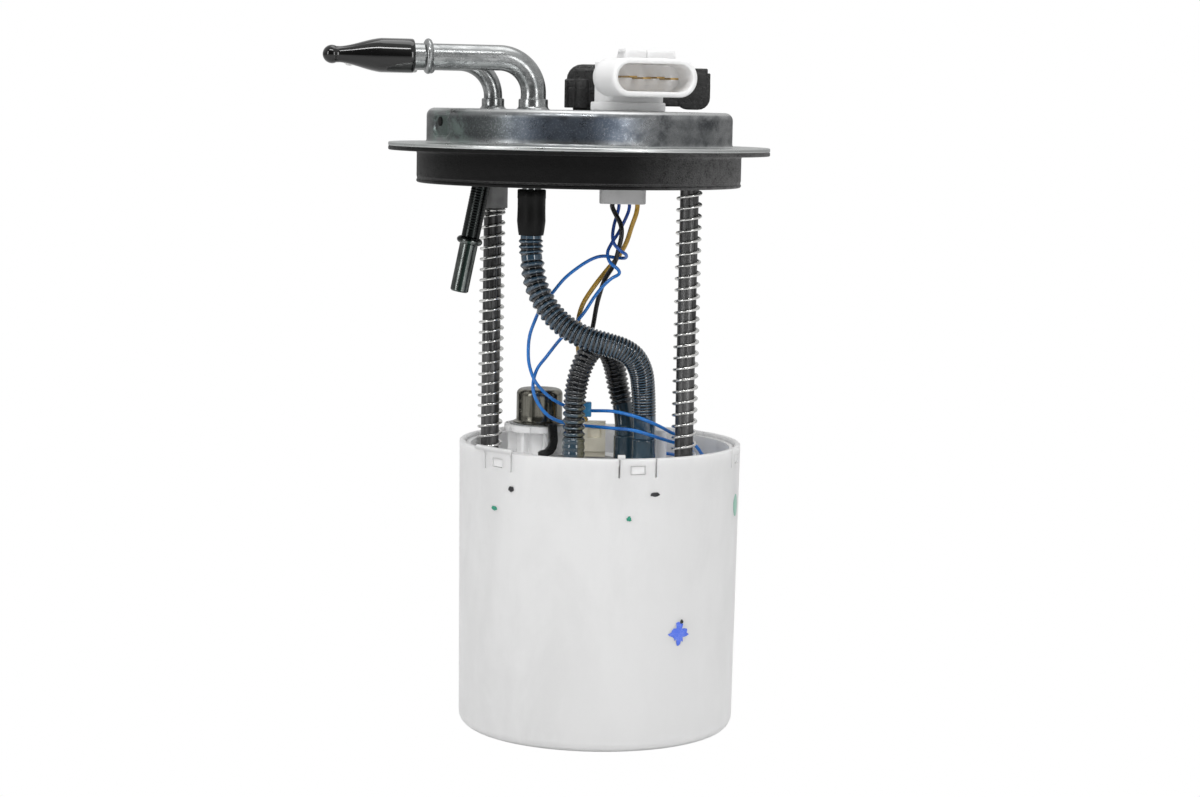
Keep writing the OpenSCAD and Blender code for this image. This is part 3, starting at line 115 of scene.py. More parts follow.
BLUE_ROUTE_B = [(19.5, -1.5, -19.05), (19.5, -1.5, -20.3), (19, -2, -22.5), (17.5, -3, -26),
    (15.5, -4, -30), (13, -5, -34), (11.5, -7.5, -37.5), (12.5, -9.5, -41), (15.5, -9.5, -43.5),
    (16, -7.3, -45.5), (13, -5.5, -47.5), (9.5, -4.8, -51), (6.5, -5.5, -55), (3, -7, -60.5),
    (-2, -8, -66.5), (-6.5, -8, -71.5), (-11, -7.5, -77.5), (-14.5, -5, -82.5), (-16, -4.5, -88),
    (-15.5, -4.5, -92.5), (-13.5, -4.5, -96.5), (-10.5, -5, -100), (-7, -5.5, -102),
    (-1.5, -5.5, -103.5), (4, -5.5, -104), (9, -8, -104), (14.5, -11.5, -104), (22, -15.8, -104),
    (28, -15.8, -105.5), (33, -12, -107.5), (37, -9, -109), (41.5, -8.5, -110.5),
    (45, -7.5, -112.5), (47, -1, -118), (48, 8, -121.3), (43.5, 20, -122), (36, 32, -122),
    (29, 41.5, -122), (25.6, 46, -121.8), (24, 49.4, -121.1), (22.9, 52.9, -120),
    (22.6, 55.3, -119.6), (22.6, 56.1, -120.3), (22.6, 56.1, -121.2), (22.6, 56.1, -122.15)]


# shapes

def ease(t):
    """0 up to t = 0 and 1 from t = 1, with a soft step between them."""
    t = min(max(t, 0.0), 1.0)
    return t * t * (3 - 2 * t)


def bow(x, y, r, a, b, n):
    """Points of an arc about (x, y), from angle a to angle b."""
    return [(x + r * cos(radians(a + (b - a) * i / n)), y + r * sin(radians(a + (b - a) * i / n)))
            for i in range(n + 1)]


def smooth(points, steps):
    """The points of a smooth curve through the given ones."""
    p = [Vector(q) for q in points]
    out = []
    for i in range(len(p) - 1):
        a, b, c, d = p[max(i - 1, 0)], p[i], p[i + 1], p[min(i + 2, len(p) - 1)]
        for k in range(steps):
            t = k / steps
            out.append(0.5 * (2 * b + (c - a) * t + (2 * a - 5 * b + 4 * c - d) * t * t
                              + (3 * b - a - 3 * c + d) * t ** 3))
    return out + [p[-1]]


def even(points, step):
    """The same line, cut again into equal steps."""
    lengths = [0.0]
    for a, b in zip(points, points[1:]):
        lengths.append(lengths[-1] + (b - a).length)
    count = max(int(ceil(lengths[-1] / step)), 1)
    out, i = [], 0
    for k in range(count + 1):
        s = lengths[-1] * k / count
        while i < len(points) - 2 and lengths[i + 1] < s:
            i += 1
        span = max(lengths[i + 1] - lengths[i], 1e-9)
        out.append(points[i].lerp(points[i + 1], (s - lengths[i]) / span))
    return out, lengths[-1]


def rings(points, radii, sides):
    """Round loops of vertices along a line, turning with it and not twisting."""
    last = len(points) - 1
    side = None
    loops = []
    for i, p in enumerate(points):
        way = (points[min(i + 1, last)] - points[max(i - 1, 0)]).normalized()
        if side is None:
            side = way.orthogonal()
        side = (side - side.dot(way) * way).normalized()
        up = way.cross(side)
        r = radii if isinstance(radii, (int, float)) else radii[i]
        loops.append([p + r * (cos(2 * pi * k / sides) * side + sin(2 * pi * k / sides) * up)
                      for k in range(sides)])
    return loops


def skin(loops, closed=False):
    """Vertices and faces of a surface through loops of equal length, capped unless closed."""
    n = len(loops[0])
    faces = []
    for i in range(len(loops) if closed else len(loops) - 1):
        a, b = i * n, (i + 1) % len(loops) * n
        faces += [(a + k, a + (k + 1) % n, b + (k + 1) % n, b + k) for k in range(n)]
    if not closed:
        faces += [tuple(range(n - 1, -1, -1)), tuple(range((len(loops) - 1) * n, len(loops) * n))]
    return [v for loop in loops for v in loop], faces


def bar(points, radii, sides):
    """A round solid bar along a line."""
    return skin(rings(points, radii, sides))


def pipe(points, outer, inner, sides):
    """A hollow tube along a line, open at both ends."""
    return skin(rings(points, outer, sides) + rings(points, inner, sides)[::-1], closed=True)


def revolve(profile, centre=Vector(), sides=96, closed=False, place=None):
    """A profile of (radius, height) pairs turned about an upright axis at centre."""
    loops = [[centre + Vector((r * cos(2 * pi * k / sides), r * sin(2 * pi * k / sides), z))
              for k in range(sides)] for r, z in profile]
    shape = skin(loops, closed)
    return moved(shape, place) if place else shape


def oblong(w, d, r, n=5):
    """A rectangle with round corners, about the origin."""
    r = min(r, w / 2 - 0.01, d / 2 - 0.01)
    out = []
    for x, y, a in ((1, 1, 0), (-1, 1, 90), (-1, -1, 180), (1, -1, 270)):
        out += bow(x * (w / 2 - r), y * (d / 2 - r), r, a, a + 90, n)
    return out


def prism(outline, h, edge, place):
    """An outline given anticlockwise, raised from z = 0 to z = h, with softened edges."""
    n = len(outline)
    edge = min(edge, h / 2 - 0.01)
    ways = []
    for i in range(n):
        a, b, c = (Vector(outline[k % n]) for k in (i - 1, i, i + 1))
        u, v = (b - a).normalized(), (c - b).normalized()
        normal = Vector((u.y + v.y, -u.x - v.x))
        normal = normal.normalized() if normal.length > 1e-6 else Vector((u.y, -u.x))
        ways.append(normal / max(normal.dot(Vector((u.y, -u.x))), .5))
    loops = []
    for low in (True, False):
        for i in range(4):
            a = radians(30 * (i if low else 3 - i))
            inset, rise = edge * (1 - sin(a)), edge * (1 - cos(a))
            z = rise if low else h - rise
            loops.append([Vector((*(Vector(p) - inset * way), z))
                          for p, way in zip(outline, ways)])
    return moved(skin(loops), place)


def block(w, d, h, r, edge, place):
    """A block standing on z = 0 with round upright corners and softened edges."""
    edge = min(edge, w / 2 - 0.02, d / 2 - 0.02)
    return prism(oblong(w, d, max(r, 0.05)), h, edge, place)


def moved(shape, place):
    """A shape put at a place."""
    return [place @ Vector(v) for v in shape[0]], shape[1]


def joined(*shapes):
    """Several shapes as one."""
    verts, faces = [], []
    for v, f in shapes:
        faces += [tuple(i + len(verts) for i in face) for face in f]
        verts += v
    return verts, faces


def shift(x, y, z):
    return Matrix.Translation((x, y, z))


def rotate(angle, axis="Z"):
    return Matrix.Rotation(radians(angle), 4, axis)


def upward(z):
    return Vector((0, 0, z))


def on_wall(angle, x, y, z):
    """A place at the reservoir's wall: x is sideways, y out from its axis, at the given angle."""
    return shift(*TANK) @ rotate(angle - 90) @ shift(x, y, z)


def along_run(tube, s):
    """A place s along a tube's level run, with its own +Z along the run."""
    start = shift(*(tube.foot + upward(tube.height)))
    return start @ rotate(TUBE_YAW) @ rotate(-90, "Y") @ shift(0, 0, s)


def make_mesh(name, shape, sharp):
    """A mesh in metres, smooth but for edges that bend more than the angle sharp."""
    mesh = bpy.data.meshes.new(name)
    mesh.from_pydata([Vector(v) * MM for v in shape[0]], [], shape[1])
    work = bmesh.new()
    work.from_mesh(mesh)
    bmesh.ops.remove_doubles(work, verts=work.verts, dist=2e-6)
    bmesh.ops.recalc_face_normals(work, faces=work.faces)
    work.to_mesh(mesh)
    work.free()
    mesh.shade_smooth()
    mesh.set_sharp_from_angle(angle=radians(sharp))
    return mesh


def linked(name, data):
    """A new object in the scene."""
    obj = bpy.data.objects.new(name, data)
    bpy.context.scene.collection.objects.link(obj)
    return obj


def piece(name, shape, slot, body=None, nodes=(), sharp=38, cutters=None):
    """Adds one piece, cuts the given shapes out of it and gives it its finish and its body."""
    obj = linked(name, make_mesh(name, shape, sharp))
    if cutters:
        tool = linked(name + "_cut", make_mesh(name + "_cut", cutters, sharp))
        change = obj.modifiers.new("cut", "BOOLEAN")
        change.object, change.solver, change.operation = tool, "EXACT", "DIFFERENCE"
        bpy.context.view_layer.update()
        found = obj.evaluated_get(bpy.context.evaluated_depsgraph_get())
        obj.data = bpy.data.meshes.new_from_object(found)
        obj.modifiers.clear()
        bpy.data.objects.remove(tool)
        obj.data.shade_smooth()
        obj.data.set_sharp_from_angle(angle=radians(sharp))
    if not obj.data.polygons:
        raise RuntimeError(f"{name} came out empty")
    obj.data.materials.clear()
    obj.data.materials.append(finish(slot))
    if nodes:
        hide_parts(*nodes)
    if body:
        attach(obj, body)
    return obj


def dress(slot, *nodes):
    """Gives CAD nodes that are shown as they are their finish."""
    for name in nodes:
        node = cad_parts.get(name)
        if node is None:
            raise RuntimeError(f"the frame has no node {name}")
        node.data.materials.clear()
        node.data.materials.append(finish(slot))


# finishes

class Tree:
    """Adds nodes to a node tree and joins them."""

    def __init__(self, tree):
        self.tree = tree

    def add(self, kind, sockets=(), **settings):
        node = self.tree.nodes.new(kind)
        for key, value in settings.items():
            setattr(node, key, value)
        for key, value in dict(sockets).items():
            self.feed(node.inputs[key], value)
        return node

    def feed(self, socket, value):
        if isinstance(value, bpy.types.NodeSocket):
            self.tree.links.new(value, socket)
        elif socket.type == "RGBA" and len(value) == 3:
            socket.default_value = (*value, 1)
        else:
            socket.default_value = value

    def math(self, operation, a, b=0.0):
        return self.add("ShaderNodeMath", {0: a, 1: b}, operation=operation).outputs[0]

    def mix(self, amount, a, b):
        node = self.add("ShaderNodeMix", {0: amount, 6: a, 7: b}, data_type="RGBA")
        return node.outputs[2]

    def over(self, tint, colour, *masks):
        """Lays a colour over a tint, by the product of the masks or plain shares."""
        amount = masks[0]
        for mask in masks[1:]:
            amount = self.math("MULTIPLY", amount, mask)
        return self.mix(amount, tint, colour)

    def axes(self, place):
        return self.add("ShaderNodeSeparateXYZ", {0: place}).outputs

    def dot(self, a, b):
        node = self.add("ShaderNodeVectorMath", {0: a, 1: b}, operation="DOT_PRODUCT")
        return node.outputs["Value"]

    def mottle(self, place, scale, detail, low, high):
        return self.use(mottle_group(), Vector=place, Scale=scale, Detail=detail, Low=low,
                        High=high)["Mask"]

    def ramp(self, value, a, b):
        """0 below a and 1 above b, or the other way round where b is less."""
        return self.add("ShaderNodeMapRange", {"Value": value, "From Min": a, "From Max": b},
                        interpolation_type="SMOOTHSTEP").outputs["Result"]

    def band(self, value, a, b, c, d):
        """Rises from 0 to 1 between a and b, and falls back between c and d."""
        return self.math("MULTIPLY", self.ramp(value, a, b), self.ramp(value, d, c))

    def use(self, group, **sockets):
        node = self.add("ShaderNodeGroup", node_tree=group)
        for key, value in sockets.items():
            self.feed(node.inputs[key.replace("_", " ")], value)
        return node.outputs


def fresh_tree(owner):
    """The emptied node tree of a new material or world."""
    owner.use_nodes = True
    owner.node_tree.nodes.clear()
    return Tree(owner.node_tree)


def shader_group(name, inputs, outputs, fill):
    """A shared effect, made once. fill gets the tree, its inputs and its outputs' sockets."""
    found = bpy.data.node_groups.get(name)
    if found:
        return found
    group = bpy.data.node_groups.new(name, "ShaderNodeTree")
    for label, kind in inputs:
        group.interface.new_socket(label, in_out="INPUT", socket_type=kind)
    for label, kind in outputs:
        group.interface.new_socket(label, in_out="OUTPUT", socket_type=kind)
    tree = Tree(group)
    source = tree.add("NodeGroupInput").outputs
    target = tree.add("NodeGroupOutput").inputs
    fill(tree, source, target)
    return group


FLOAT, VECTOR = "NodeSocketFloat", "NodeSocketVector"


def mottle_group():
    """A cloudy mask: 0 where the noise is below Low and 1 where it is above High."""
    def fill(t, i, o):
        cloud = t.add("ShaderNodeTexNoise", {"Vector": i["Vector"], "Scale": i["Scale"],
                      "Detail": i["Detail"], "Roughness": 0.62, "Distortion": 0.3})
        t.feed(o["Mask"], t.ramp(cloud.outputs["Fac"], i["Low"], i["High"]))
    return shader_group("Pump mottle", [("Vector", VECTOR), ("Scale", FLOAT), ("Detail", FLOAT),
                        ("Low", FLOAT), ("High", FLOAT)], [("Mask", FLOAT)], fill)


def relief_group():
    """A normal with softened corners and fine bumps, both given in metres."""
    def fill(t, i, o):
        soft = t.add("ShaderNodeBevel", {"Radius": i["Edge"]}, samples=4)
        bump = t.add("ShaderNodeBump", {"Strength": 1.0, "Distance": i["Depth"],
                     "Height": i["Height"], "Normal": soft.outputs["Normal"]})
        t.feed(o["Normal"], bump.outputs["Normal"])
    return shader_group("Pump relief", [("Edge", FLOAT), ("Depth", FLOAT), ("Height", FLOAT)],
                        [("Normal", VECTOR)], fill)


def round_group():
    """Turns a place into the distance round the module's axis, its height and its radius."""
    def fill(t, i, o):
        parts = t.axes(i["Vector"])
        metres_per_radian = 0.058
        turn = t.math("ARCTAN2", parts["Y"], parts["X"])
        radius = t.math("SQRT", t.math("ADD", t.math("MULTIPLY", parts["X"], parts["X"]),
                                       t.math("MULTIPLY", parts["Y"], parts["Y"])))
        reach = t.math("MULTIPLY", turn, metres_per_radian)
        place = t.add("ShaderNodeCombineXYZ", {"X": reach, "Y": parts["Z"], "Z": radius})
        t.feed(o["Vector"], place.outputs[0])
        t.feed(o["Turn"], turn)
    return shader_group("Pump round", [("Vector", VECTOR)], [("Vector", VECTOR), ("Turn", FLOAT)],
                        fill)


def edge_group():
    """A mask that is 1 on the outer corners of a shape and fades over the given distance."""
    def fill(t, i, o):
        soft = t.add("ShaderNodeBevel", {"Radius": i["Reach"]}, samples=4).outputs["Normal"]
        flat = t.add("ShaderNodeNewGeometry").outputs["Normal"]
        t.feed(o["Mask"], t.ramp(t.dot(soft, flat), .99, .86))
    return shader_group("Pump edges", [("Reach", FLOAT)], [("Mask", FLOAT)], fill)


# tints, roughness and its spread, then cloud size, bump depth and rounded edge in mm
Look = namedtuple("Look", "light dark rough spread cloud depth edge metal stretch shader",
                  defaults=(0, (1, 1, 1), {}))


def grey(value):
    return value, value, value


def milky(weight, scale):
    """Shader sockets of a material that light goes into, to a depth of scale metres."""
    return {"Subsurface Weight": weight, "Subsurface Scale": scale, "Subsurface Radius": (1, 1, 1)}


FINISHES = {
    "plated_steel": Look((.32, .33, .335), (.05, .055, .06), .33, .14, 7, .03, .3, metal=1,
                         stretch=(1, .5, 1)),
    "collar_steel": Look(grey(.19), grey(.02), .46, .2, .55, .07, .3, metal=1),
    "tube_steel": Look((.41, .42, .42), (.15, .158, .16), .27, .1, 2.2, .0015, .1, metal=1,
                       stretch=(.35, 1, 1)),
    "stub_steel": Look((.24, .26, .25), (.01, .014, .012), .22, .08, 3, .012, .2, metal=1,
                       stretch=(1, 1, .1)),
    "rod_steel": Look(grey(.17), grey(.012), .38, .15, .9, .03, .2, metal=1, stretch=(1, 1, .05)),
    "spring_steel": Look((.86, .86, .84), (.42, .42, .41), .18, .06, 2, .005, .05, metal=1),
    "regulator_steel": Look((.27, .262, .225), (.035, .034, .028), .2, .08, 2.2, .01, .3, metal=1,
                            stretch=(1, 1, .05)),
    "clear_nylon": Look(grey(.86), grey(.76), .34, .08, 22, .01, .4, stretch=(1, 1, .4),
                        shader=milky(.8, .006)),
    "white_acetal": Look(grey(.95), grey(.9), .4, .1, 8, .02, .4, shader=milky(.5, .004)),
    # the socket's white acetal made darker: painted shade under the cover
    "boss_acetal_painted_shade": Look(grey(.52), grey(.4), .45, .1, 4, .02, .4),
    "cream_nylon": Look((.9, .85, .7), (.78, .72, .57), .45, .1, 6, .02, .35,
                        shader=milky(.1, .002)),
    "grey_nylon": Look(grey(.3), grey(.22), .5, .1, 5, .02, .3),
    "black_nylon": Look(grey(.011), grey(.003), .36, .2, 1.4, .09, .5),
    "cap_vinyl": Look(grey(.003), grey(.001), .08, .02, 6, .004, .3,
                      shader={"Coat Weight": 1, "Coat Roughness": .05, "Specular IOR Level": .1}),
    "pale_vinyl": Look((.74, .74, .73), (.6, .6, .59), .2, .06, 6, .02, .3,
                       shader={**milky(.5, .004), "Coat Weight": .4, "Coat Roughness": .08}),
    "hose_blue": Look((.032, .074, .118), (.018, .042, .068), .12, .06, 5, .003, .1,
                      shader={"Coat Weight": 1, "Coat Roughness": .05}),
    "hose_dark": Look((.013, .015, .018), (.004, .0045, .005), .14, .06, 5, .003, .1,
                      shader={"Coat Weight": .9, "Coat Roughness": .06}),
    "sleeve_dark": Look(grey(.004), grey(.0015), .42, .12, 3, .03, .3, stretch=(1, 1, .4),
                        shader={"Specular IOR Level": .18}),
    "rubber": Look(grey(.03), grey(.012), .6, .1, 3, .04, .3),
    "brass": Look((.5, .34, .14), (.16, .1, .035), .34, .1, .7, .02, .1, metal=1),
    "copper": Look((.68, .3, .16), (.36, .14, .07), .35, .1, 2, .02, .1, metal=1),
    "magnet": Look(grey(.1), grey(.05), .55, .1, 2, .03, .2, metal=.3),
    "carbon": Look(grey(.02), grey(.008), .5, .1, 1, .03, .1),
    "filter_paper": Look((.72, .6, .36), (.58, .46, .25), .8, .1, 2, .05, .05, stretch=(1, 1, .2)),
    "strainer_mesh": Look((.74, .75, .74), (.52, .53, .53), .7, .1, .8, .08, .2),
    "card": Look((.03, .16, .07), (.015, .09, .04), .35, .1, 3, .01, .1),
    "float_foam": Look(grey(.07), grey(.03), .8, .1, .9, .12, .5),
    "wire_black": Look(grey(.008), grey(.004), .26, .06, 3, .005, .05),
    "wire_yellow": Look((.52, .31, .045), (.34, .19, .02), .3, .06, 3, .005, .05),
    "wire_blue": Look((.022, .21, .66), (.014, .11, .42), .26, .06, 4, .005, .05),
    "splice_blue": Look((.03, .24, .5), (.02, .15, .34), .35, .06, 2, .01, .1),
    "ink_black": Look((.012, .012, .014), (.03, .03, .035), .4, .1, .5, .01, .05),
    "ink_green": Look((.01, .24, .15), (.05, .4, .26), .4, .1, .5, .01, .05),
    "ink_pale": Look((.26, .52, .42), (.4, .62, .52), .4, .1, .8, .01, .05),
    "ink_blue": Look((.07, .16, .8), (.22, .32, .9), .4, .1, .5, .01, .05),
    # a near-black plug that stands for the shade inside a hole
    "hole_painted_shade": Look(grey(.002), grey(.001), .9, .1, 1, .01, .05),
}


def cover_stains_and_painted_light(t, place, tint):
    """Green and pale stains and painted shade on the left, a painted blue reflection in front, and
    painted highlights on the flange, the top edge and the corners.

    The bands' places are turns about the axis in radians, and heights in metres.
    """
    spot = t.use(round_group(), Vector=place)
    turn, height = spot["Turn"], t.axes(place)["Z"]

    def stain_and_reflection_cloud(scale, low, high, detail=5.0):
        return t.mottle(spot["Vector"], scale, detail, low, high)
    wall = t.band(height, .0035, .0062, .0122, .0152)
    left = t.band(turn, -3.2, -2.9, -2.1, -1.7)
    front = t.band(turn, -2.15, -1.8, -1.4, -1.0)
    swirl = t.band(turn, -2.9, -2.75, -2.45, -2.2)
    lip = t.band(height, .0, .0006, .0031, .0037)
    dimple = t.math("MULTIPLY", t.band(turn, -2.73, -2.69, -2.6, -2.56),
                    t.band(height, .0045, .006, .0125, .014))
    # painted highlight along the corners (not in the dimple) and along the top edge
    corner = t.math("MULTIPLY", t.use(edge_group(), Reach=.0009)["Mask"],
                    t.math("SUBTRACT", 1.0, dimple))
    painted_highlight = t.math("MAXIMUM", corner, t.band(height, .0146, .0154, .02, .021))
    for colour, *masks in (
            # painted shade: the left side darker
            ((.042, .05, .051), left, wall, .8),
            ((.26, .34, .31), swirl, stain_and_reflection_cloud(160.0, .42, .62), .6),
            ((.25, .28, .27), left, stain_and_reflection_cloud(900.0, .5, .75, 2.0), .3),
            # painted reflection: a blue patch where the dark front is reflected
            ((.082, .102, .135), front, wall, stain_and_reflection_cloud(60.0, .2, .45), .88),
            ((.11, .15, .135), dimple, stain_and_reflection_cloud(700.0, .3, .5)),
            ((.34, .36, .40), wall, stain_and_reflection_cloud(1500.0, .5, .7, 2.0), .3),
            # painted highlights: a band along the flange, then the top edge and the corners
            ((.66, .68, .67), lip, .8),
            ((.66, .67, .67), painted_highlight, .75)):
        tint = t.over(tint, colour, *masks)
    return tint


def collar_painted_light(t, place, tint):
    """Painted shade all round but on the right, so on the left and in front, and a painted
    highlight along the edges, the lower one among them.
    """
    turn = t.use(round_group(), Vector=place)["Turn"]
    unshaded_side = t.band(turn, -1.35, -.5, .6, 1.4)
    # painted shade everywhere but on the right side
    tint = t.over(tint, grey(.016), t.math("SUBTRACT", 1.0, unshaded_side))
    # painted highlight along the edges
    return t.over(tint, grey(.3), t.use(edge_group(), Reach=.0006)["Mask"], .35)


def stub_shades(t, place, tint):
    """Nearly black above the bead, and a green streak down the front below it."""
    lean = radians(STUB_LEAN)
    across = t.dot(place, (cos(lean), 0, -sin(lean)))
    axis = (RETURN.foot.x * cos(lean) - 6.5 * sin(lean)) * MM
    streak = t.band(across, axis - .0012, axis - .0004, axis + .0003, axis + .0008)
    tint = t.over(tint, (.008, .03, .022), streak, .85)
    return t.over(tint, (.012, .013, .013), t.ramp(t.axes(place)["Z"], -.035, -.033), .9)


def painted_groove_shade(t, place, tint):
    """Painted shade: darkens the grooves that the mesh marks."""
    groove = t.add("ShaderNodeAttribute", attribute_name="groove").outputs["Fac"]
    return t.over(tint, (.0015, .002, .003), t.ramp(groove, .05, .6))


def loop_shades(t, place, tint):
    """Black at its top, blue lower down, with a painted olive reflection on one side and painted
    shade in the grooves.
    """
    axes = t.axes(place)
    low = t.band(axes["Z"], -.2, -.19, -.101, -.086)
    side = t.band(axes["X"], .0008, .0022, .0042, .006)
    tint = t.over(tint, (.03, .062, .088), low)
    # painted reflection: an olive sheen on one side of the lower legs, then painted shade in the
    # grooves
    return painted_groove_shade(t, place, t.over(tint, (.13, .115, .05), side, low, .75))


def blue_shades(t, place, tint):
    """Darker near the socket."""
    return t.over(tint, (.018, .075, .36), t.band(t.axes(place)["Z"], -.046, -.032, 0, 1))


def painted_edge_highlight(t, place, tint):
    """Painted highlight: a greyer line along the corners."""
    return t.over(tint, grey(.09), t.use(edge_group(), Reach=.0004)["Mask"], .3)


# what each of these looks adds to its two tints
TINTS = {"plated_steel": cover_stains_and_painted_light, "collar_steel": collar_painted_light,
         "stub_steel": stub_shades, "hose_blue": painted_groove_shade, "hose_dark": loop_shades,
         "wire_blue": blue_shades, "black_nylon": painted_edge_highlight}


def finish(slot):
    """The procedural material of one look."""
    name = "pump_" + slot
    found = bpy.data.materials.get(name)
    if found:
        return found
    look = FINISHES[slot]
    if slot == "hose_blue":
        look = look._replace(light=tuple(bpy.context.scene.pump_paint.hose_colour))
    material = bpy.data.materials.new(name)
    t = fresh_tree(material)
    place = t.add("ShaderNodeTexCoord").outputs["Object"]
    spot = t.add("ShaderNodeMapping", {"Vector": place, "Scale": look.stretch}).outputs[0]
    cloud = t.mottle(spot, 1000 / look.cloud, 6.0, .35, .68)
    broad = t.mottle(spot, 170 / look.cloud, 3.0, .3, .7)
    fine = t.mottle(place, 2600.0, 2.0, .25, .75)
    tint = t.over(look.light, look.dark, cloud, broad)
    if look.metal:
        tint = t.over(tint, look.dark, fine, .25)
    if slot in TINTS:
        tint = TINTS[slot](t, place, tint)
    gloss = t.math("ADD", look.rough - look.spread / 2, t.math("MULTIPLY", cloud, look.spread))
    height = t.math("ADD", t.math("MULTIPLY", fine, .6), cloud)
    normal = t.use(relief_group(), Edge=look.edge * MM, Depth=look.depth * MM,
                   Height=height)["Normal"]
    body = t.add("ShaderNodeBsdfPrincipled", {"Base Color": tint, "Metallic": float(look.metal),
                 "Roughness": gloss, "Normal": normal, **look.shader})
    t.add("ShaderNodeOutputMaterial", {"Surface": body.outputs[0]})
    material.diffuse_color = (*look.light, 1)
    return material


# settings

class PumpHoseSettings(bpy.types.PropertyGroup):
    """Sizes of the corrugated hoses and of the wires."""
    outlet_radius: bpy.props.FloatProperty(
        name="Outlet hose radius", description="Outer radius over the outlet hose's ribs",
        default=0.00465, min=0.004, max=0.0055, unit="LENGTH", subtype="DISTANCE", precision=5)
    loop_radius: bpy.props.FloatProperty(
        name="Pump hose radius", description="Outer radius over the pump hose's ribs",
        default=0.00435, min=0.0035, max=0.005, unit="LENGTH", subtype="DISTANCE", precision=5)
    rib_depth: bpy.props.FloatProperty(
        name="Rib depth", description="Depth of the grooves between two ribs",
        default=0.001, min=0.0003, max=0.0015, unit="LENGTH", subtype="DISTANCE", precision=5)
    power_wire: bpy.props.FloatProperty(
        name="Power wire diameter", description="Diameter of the black and yellow wires",
        default=0.0018, min=0.001, max=0.003, unit="LENGTH", subtype="DISTANCE", precision=5)
    sender_wire: bpy.props.FloatProperty(
        name="Sender wire diameter", description="Diameter of the two blue wires",
        default=0.0013, min=0.0008, max=0.002, unit="LENGTH", subtype="DISTANCE", precision=5)


class PumpPaintSettings(bpy.types.PropertyGroup):
    """Colours that a user would change."""
    hose_colour: bpy.props.FloatVectorProperty(
        name="Outlet hose colour", description="Lighter tint of the outlet hose",
        default=FINISHES["hose_blue"].light, size=3, min=0, max=1, subtype="COLOR")
    key_light: bpy.props.FloatProperty(
        name="Key light", description="Power of the large light on the left",
        default=2.9, min=0, max=60, unit="POWER")
    fill_light: bpy.props.FloatProperty(
        name="Fill light", description="Power of the large light on the right",
        default=2.4, min=0, max=60, unit="POWER")
    strip_light: bpy.props.FloatProperty(
        name="Strip light", description="Power of the narrow light above the camera",
        default=4.0, min=0, max=60, unit="POWER")
    surround: bpy.props.FloatProperty(
        name="Surround", description="Strength of the even light from all round",
        default=0.7, min=0, max=2, subtype="FACTOR")


# pieces

class PUMP_OT_cover(bpy.types.Operator):
    """Add the pressed steel cover with its dimple, and the collar below the flange"""
    bl_idname = "pump.cover"
    bl_label = "Cover and collar"

    def execute(self, context):
        angles, a = [], 0.0
        while a < 359.9:
            angles.append(a)
            a += 0.25 if 196 < a < 219 else 1.5
        outside = ([(0, COVER_TOP), (20, COVER_TOP), (40, COVER_TOP)] + bow(55.1, 13, 3, 90, 0, 8)
                   + [(COVER_R, 12.6 - 0.25 * i) for i in range(31)]
                   + bow(59.3, 4.2, 1.2, 180, 270, 4) + [(66, 3.0)]
                   + bow(72.1, 2.6, .4, 90, 0, 3) + bow(72.1, 1.91, .4, 0, -90, 3))
        inside = [(66, 1.51), (57.8, 1.51), (56.6, 2.7), (56.6, 12), (55.2, 14.2),
                  (53, COVER_UNDER), (20, COVER_UNDER), (0, COVER_UNDER)]
        dimple_angle, dimple_z, half_length, end_r, depth, slope = 208, 9.3, 3.4, 4.0, 1.0, 1.3
        loops = []
        for k, (r, z) in enumerate(outside + inside):
            loop = []
            for angle in angles:
                q = r
                if k < len(outside) and 4.2 < z < 14.6 and r > 56:
                    along = radians(angle - dimple_angle) * COVER_R
                    far = hypot(max(abs(along) - half_length, 0), z - dimple_z) - end_r
                    q -= depth * ease(.5 - far / slope)
                loop.append(Vector((q * cos(radians(angle)), q * sin(radians(angle)), z)))
            loops.append(loop)
        piece("cover_pan", skin(loops), "plated_steel", FLANGE, ["cover"], sharp=50)
        facing = shift(0, 0, 11.0) @ rotate(205.8) @ rotate(90, "Y")
        # painted shade: a near-black plug in the dimple stands for the pin hole
        hole = [(0, 55.2), (1.7, 55.2), (1.7, 57.4), (1.5, 57.5), (0, 57.5)]
        piece("cover_pin_hole_shade", revolve(hole, sides=24, place=facing), "hole_painted_shade", FLANGE)
        low = -12.1
        collar = (bow(72.1, 1.09, .4, 90, 0, 3) + bow(72.1, .4, .4, 0, -90, 3)
                  + [(66, 0), (63.2, 0)] + bow(62.9, -1.2, 1.2, 90, 180, 4)
                  + [(61.7, -4), (61.7, -9.6), (61.62, -9.9), (61.5, -10.05), (61.62, -10.2)]
                  + bow(61.05, low + .75, .75, 60, -90, 6) + bow(59.2, low + .5, .5, -90, -180, 3)
                  + [(58.7, low + 1.5), (60.2, low + 1.9), (60.2, .6), (60.6, 1.49)])
        piece("collar_ring", revolve(collar, sides=220, closed=True), "collar_steel", FLANGE,
              ["collar"], sharp=50)
        return {"FINISHED"}


def bead_radius(s, centre, r):
    """The radius of a tube at s, where its bead rises from radius r."""
    half_width, rise = 1.5, 1.85
    far = abs(s - centre) / half_width
    return r + rise * (1 - far * far) ** .5 if far < 1 else r


def bent_line(tube, low):
    """The middle line of a fuel tube, from a height low up its foot to its outer end."""
    bend, top = TUBE_BEND, tube.height
    points = [tube.foot + upward(low + (top - bend - low) * i / 12) for i in range(12)]
    centre = tube.foot + bend * RUN
    for i in range(31):
        a = radians(3 * i)
        points.append(centre - bend * cos(a) * RUN + upward(top - bend + bend * sin(a)))
    n = int((tube.reach - bend) / .25)
    return points + [tube.foot + (bend + (tube.reach - bend) * i / n) * RUN + upward(top)
                     for i in range(1, n + 1)]


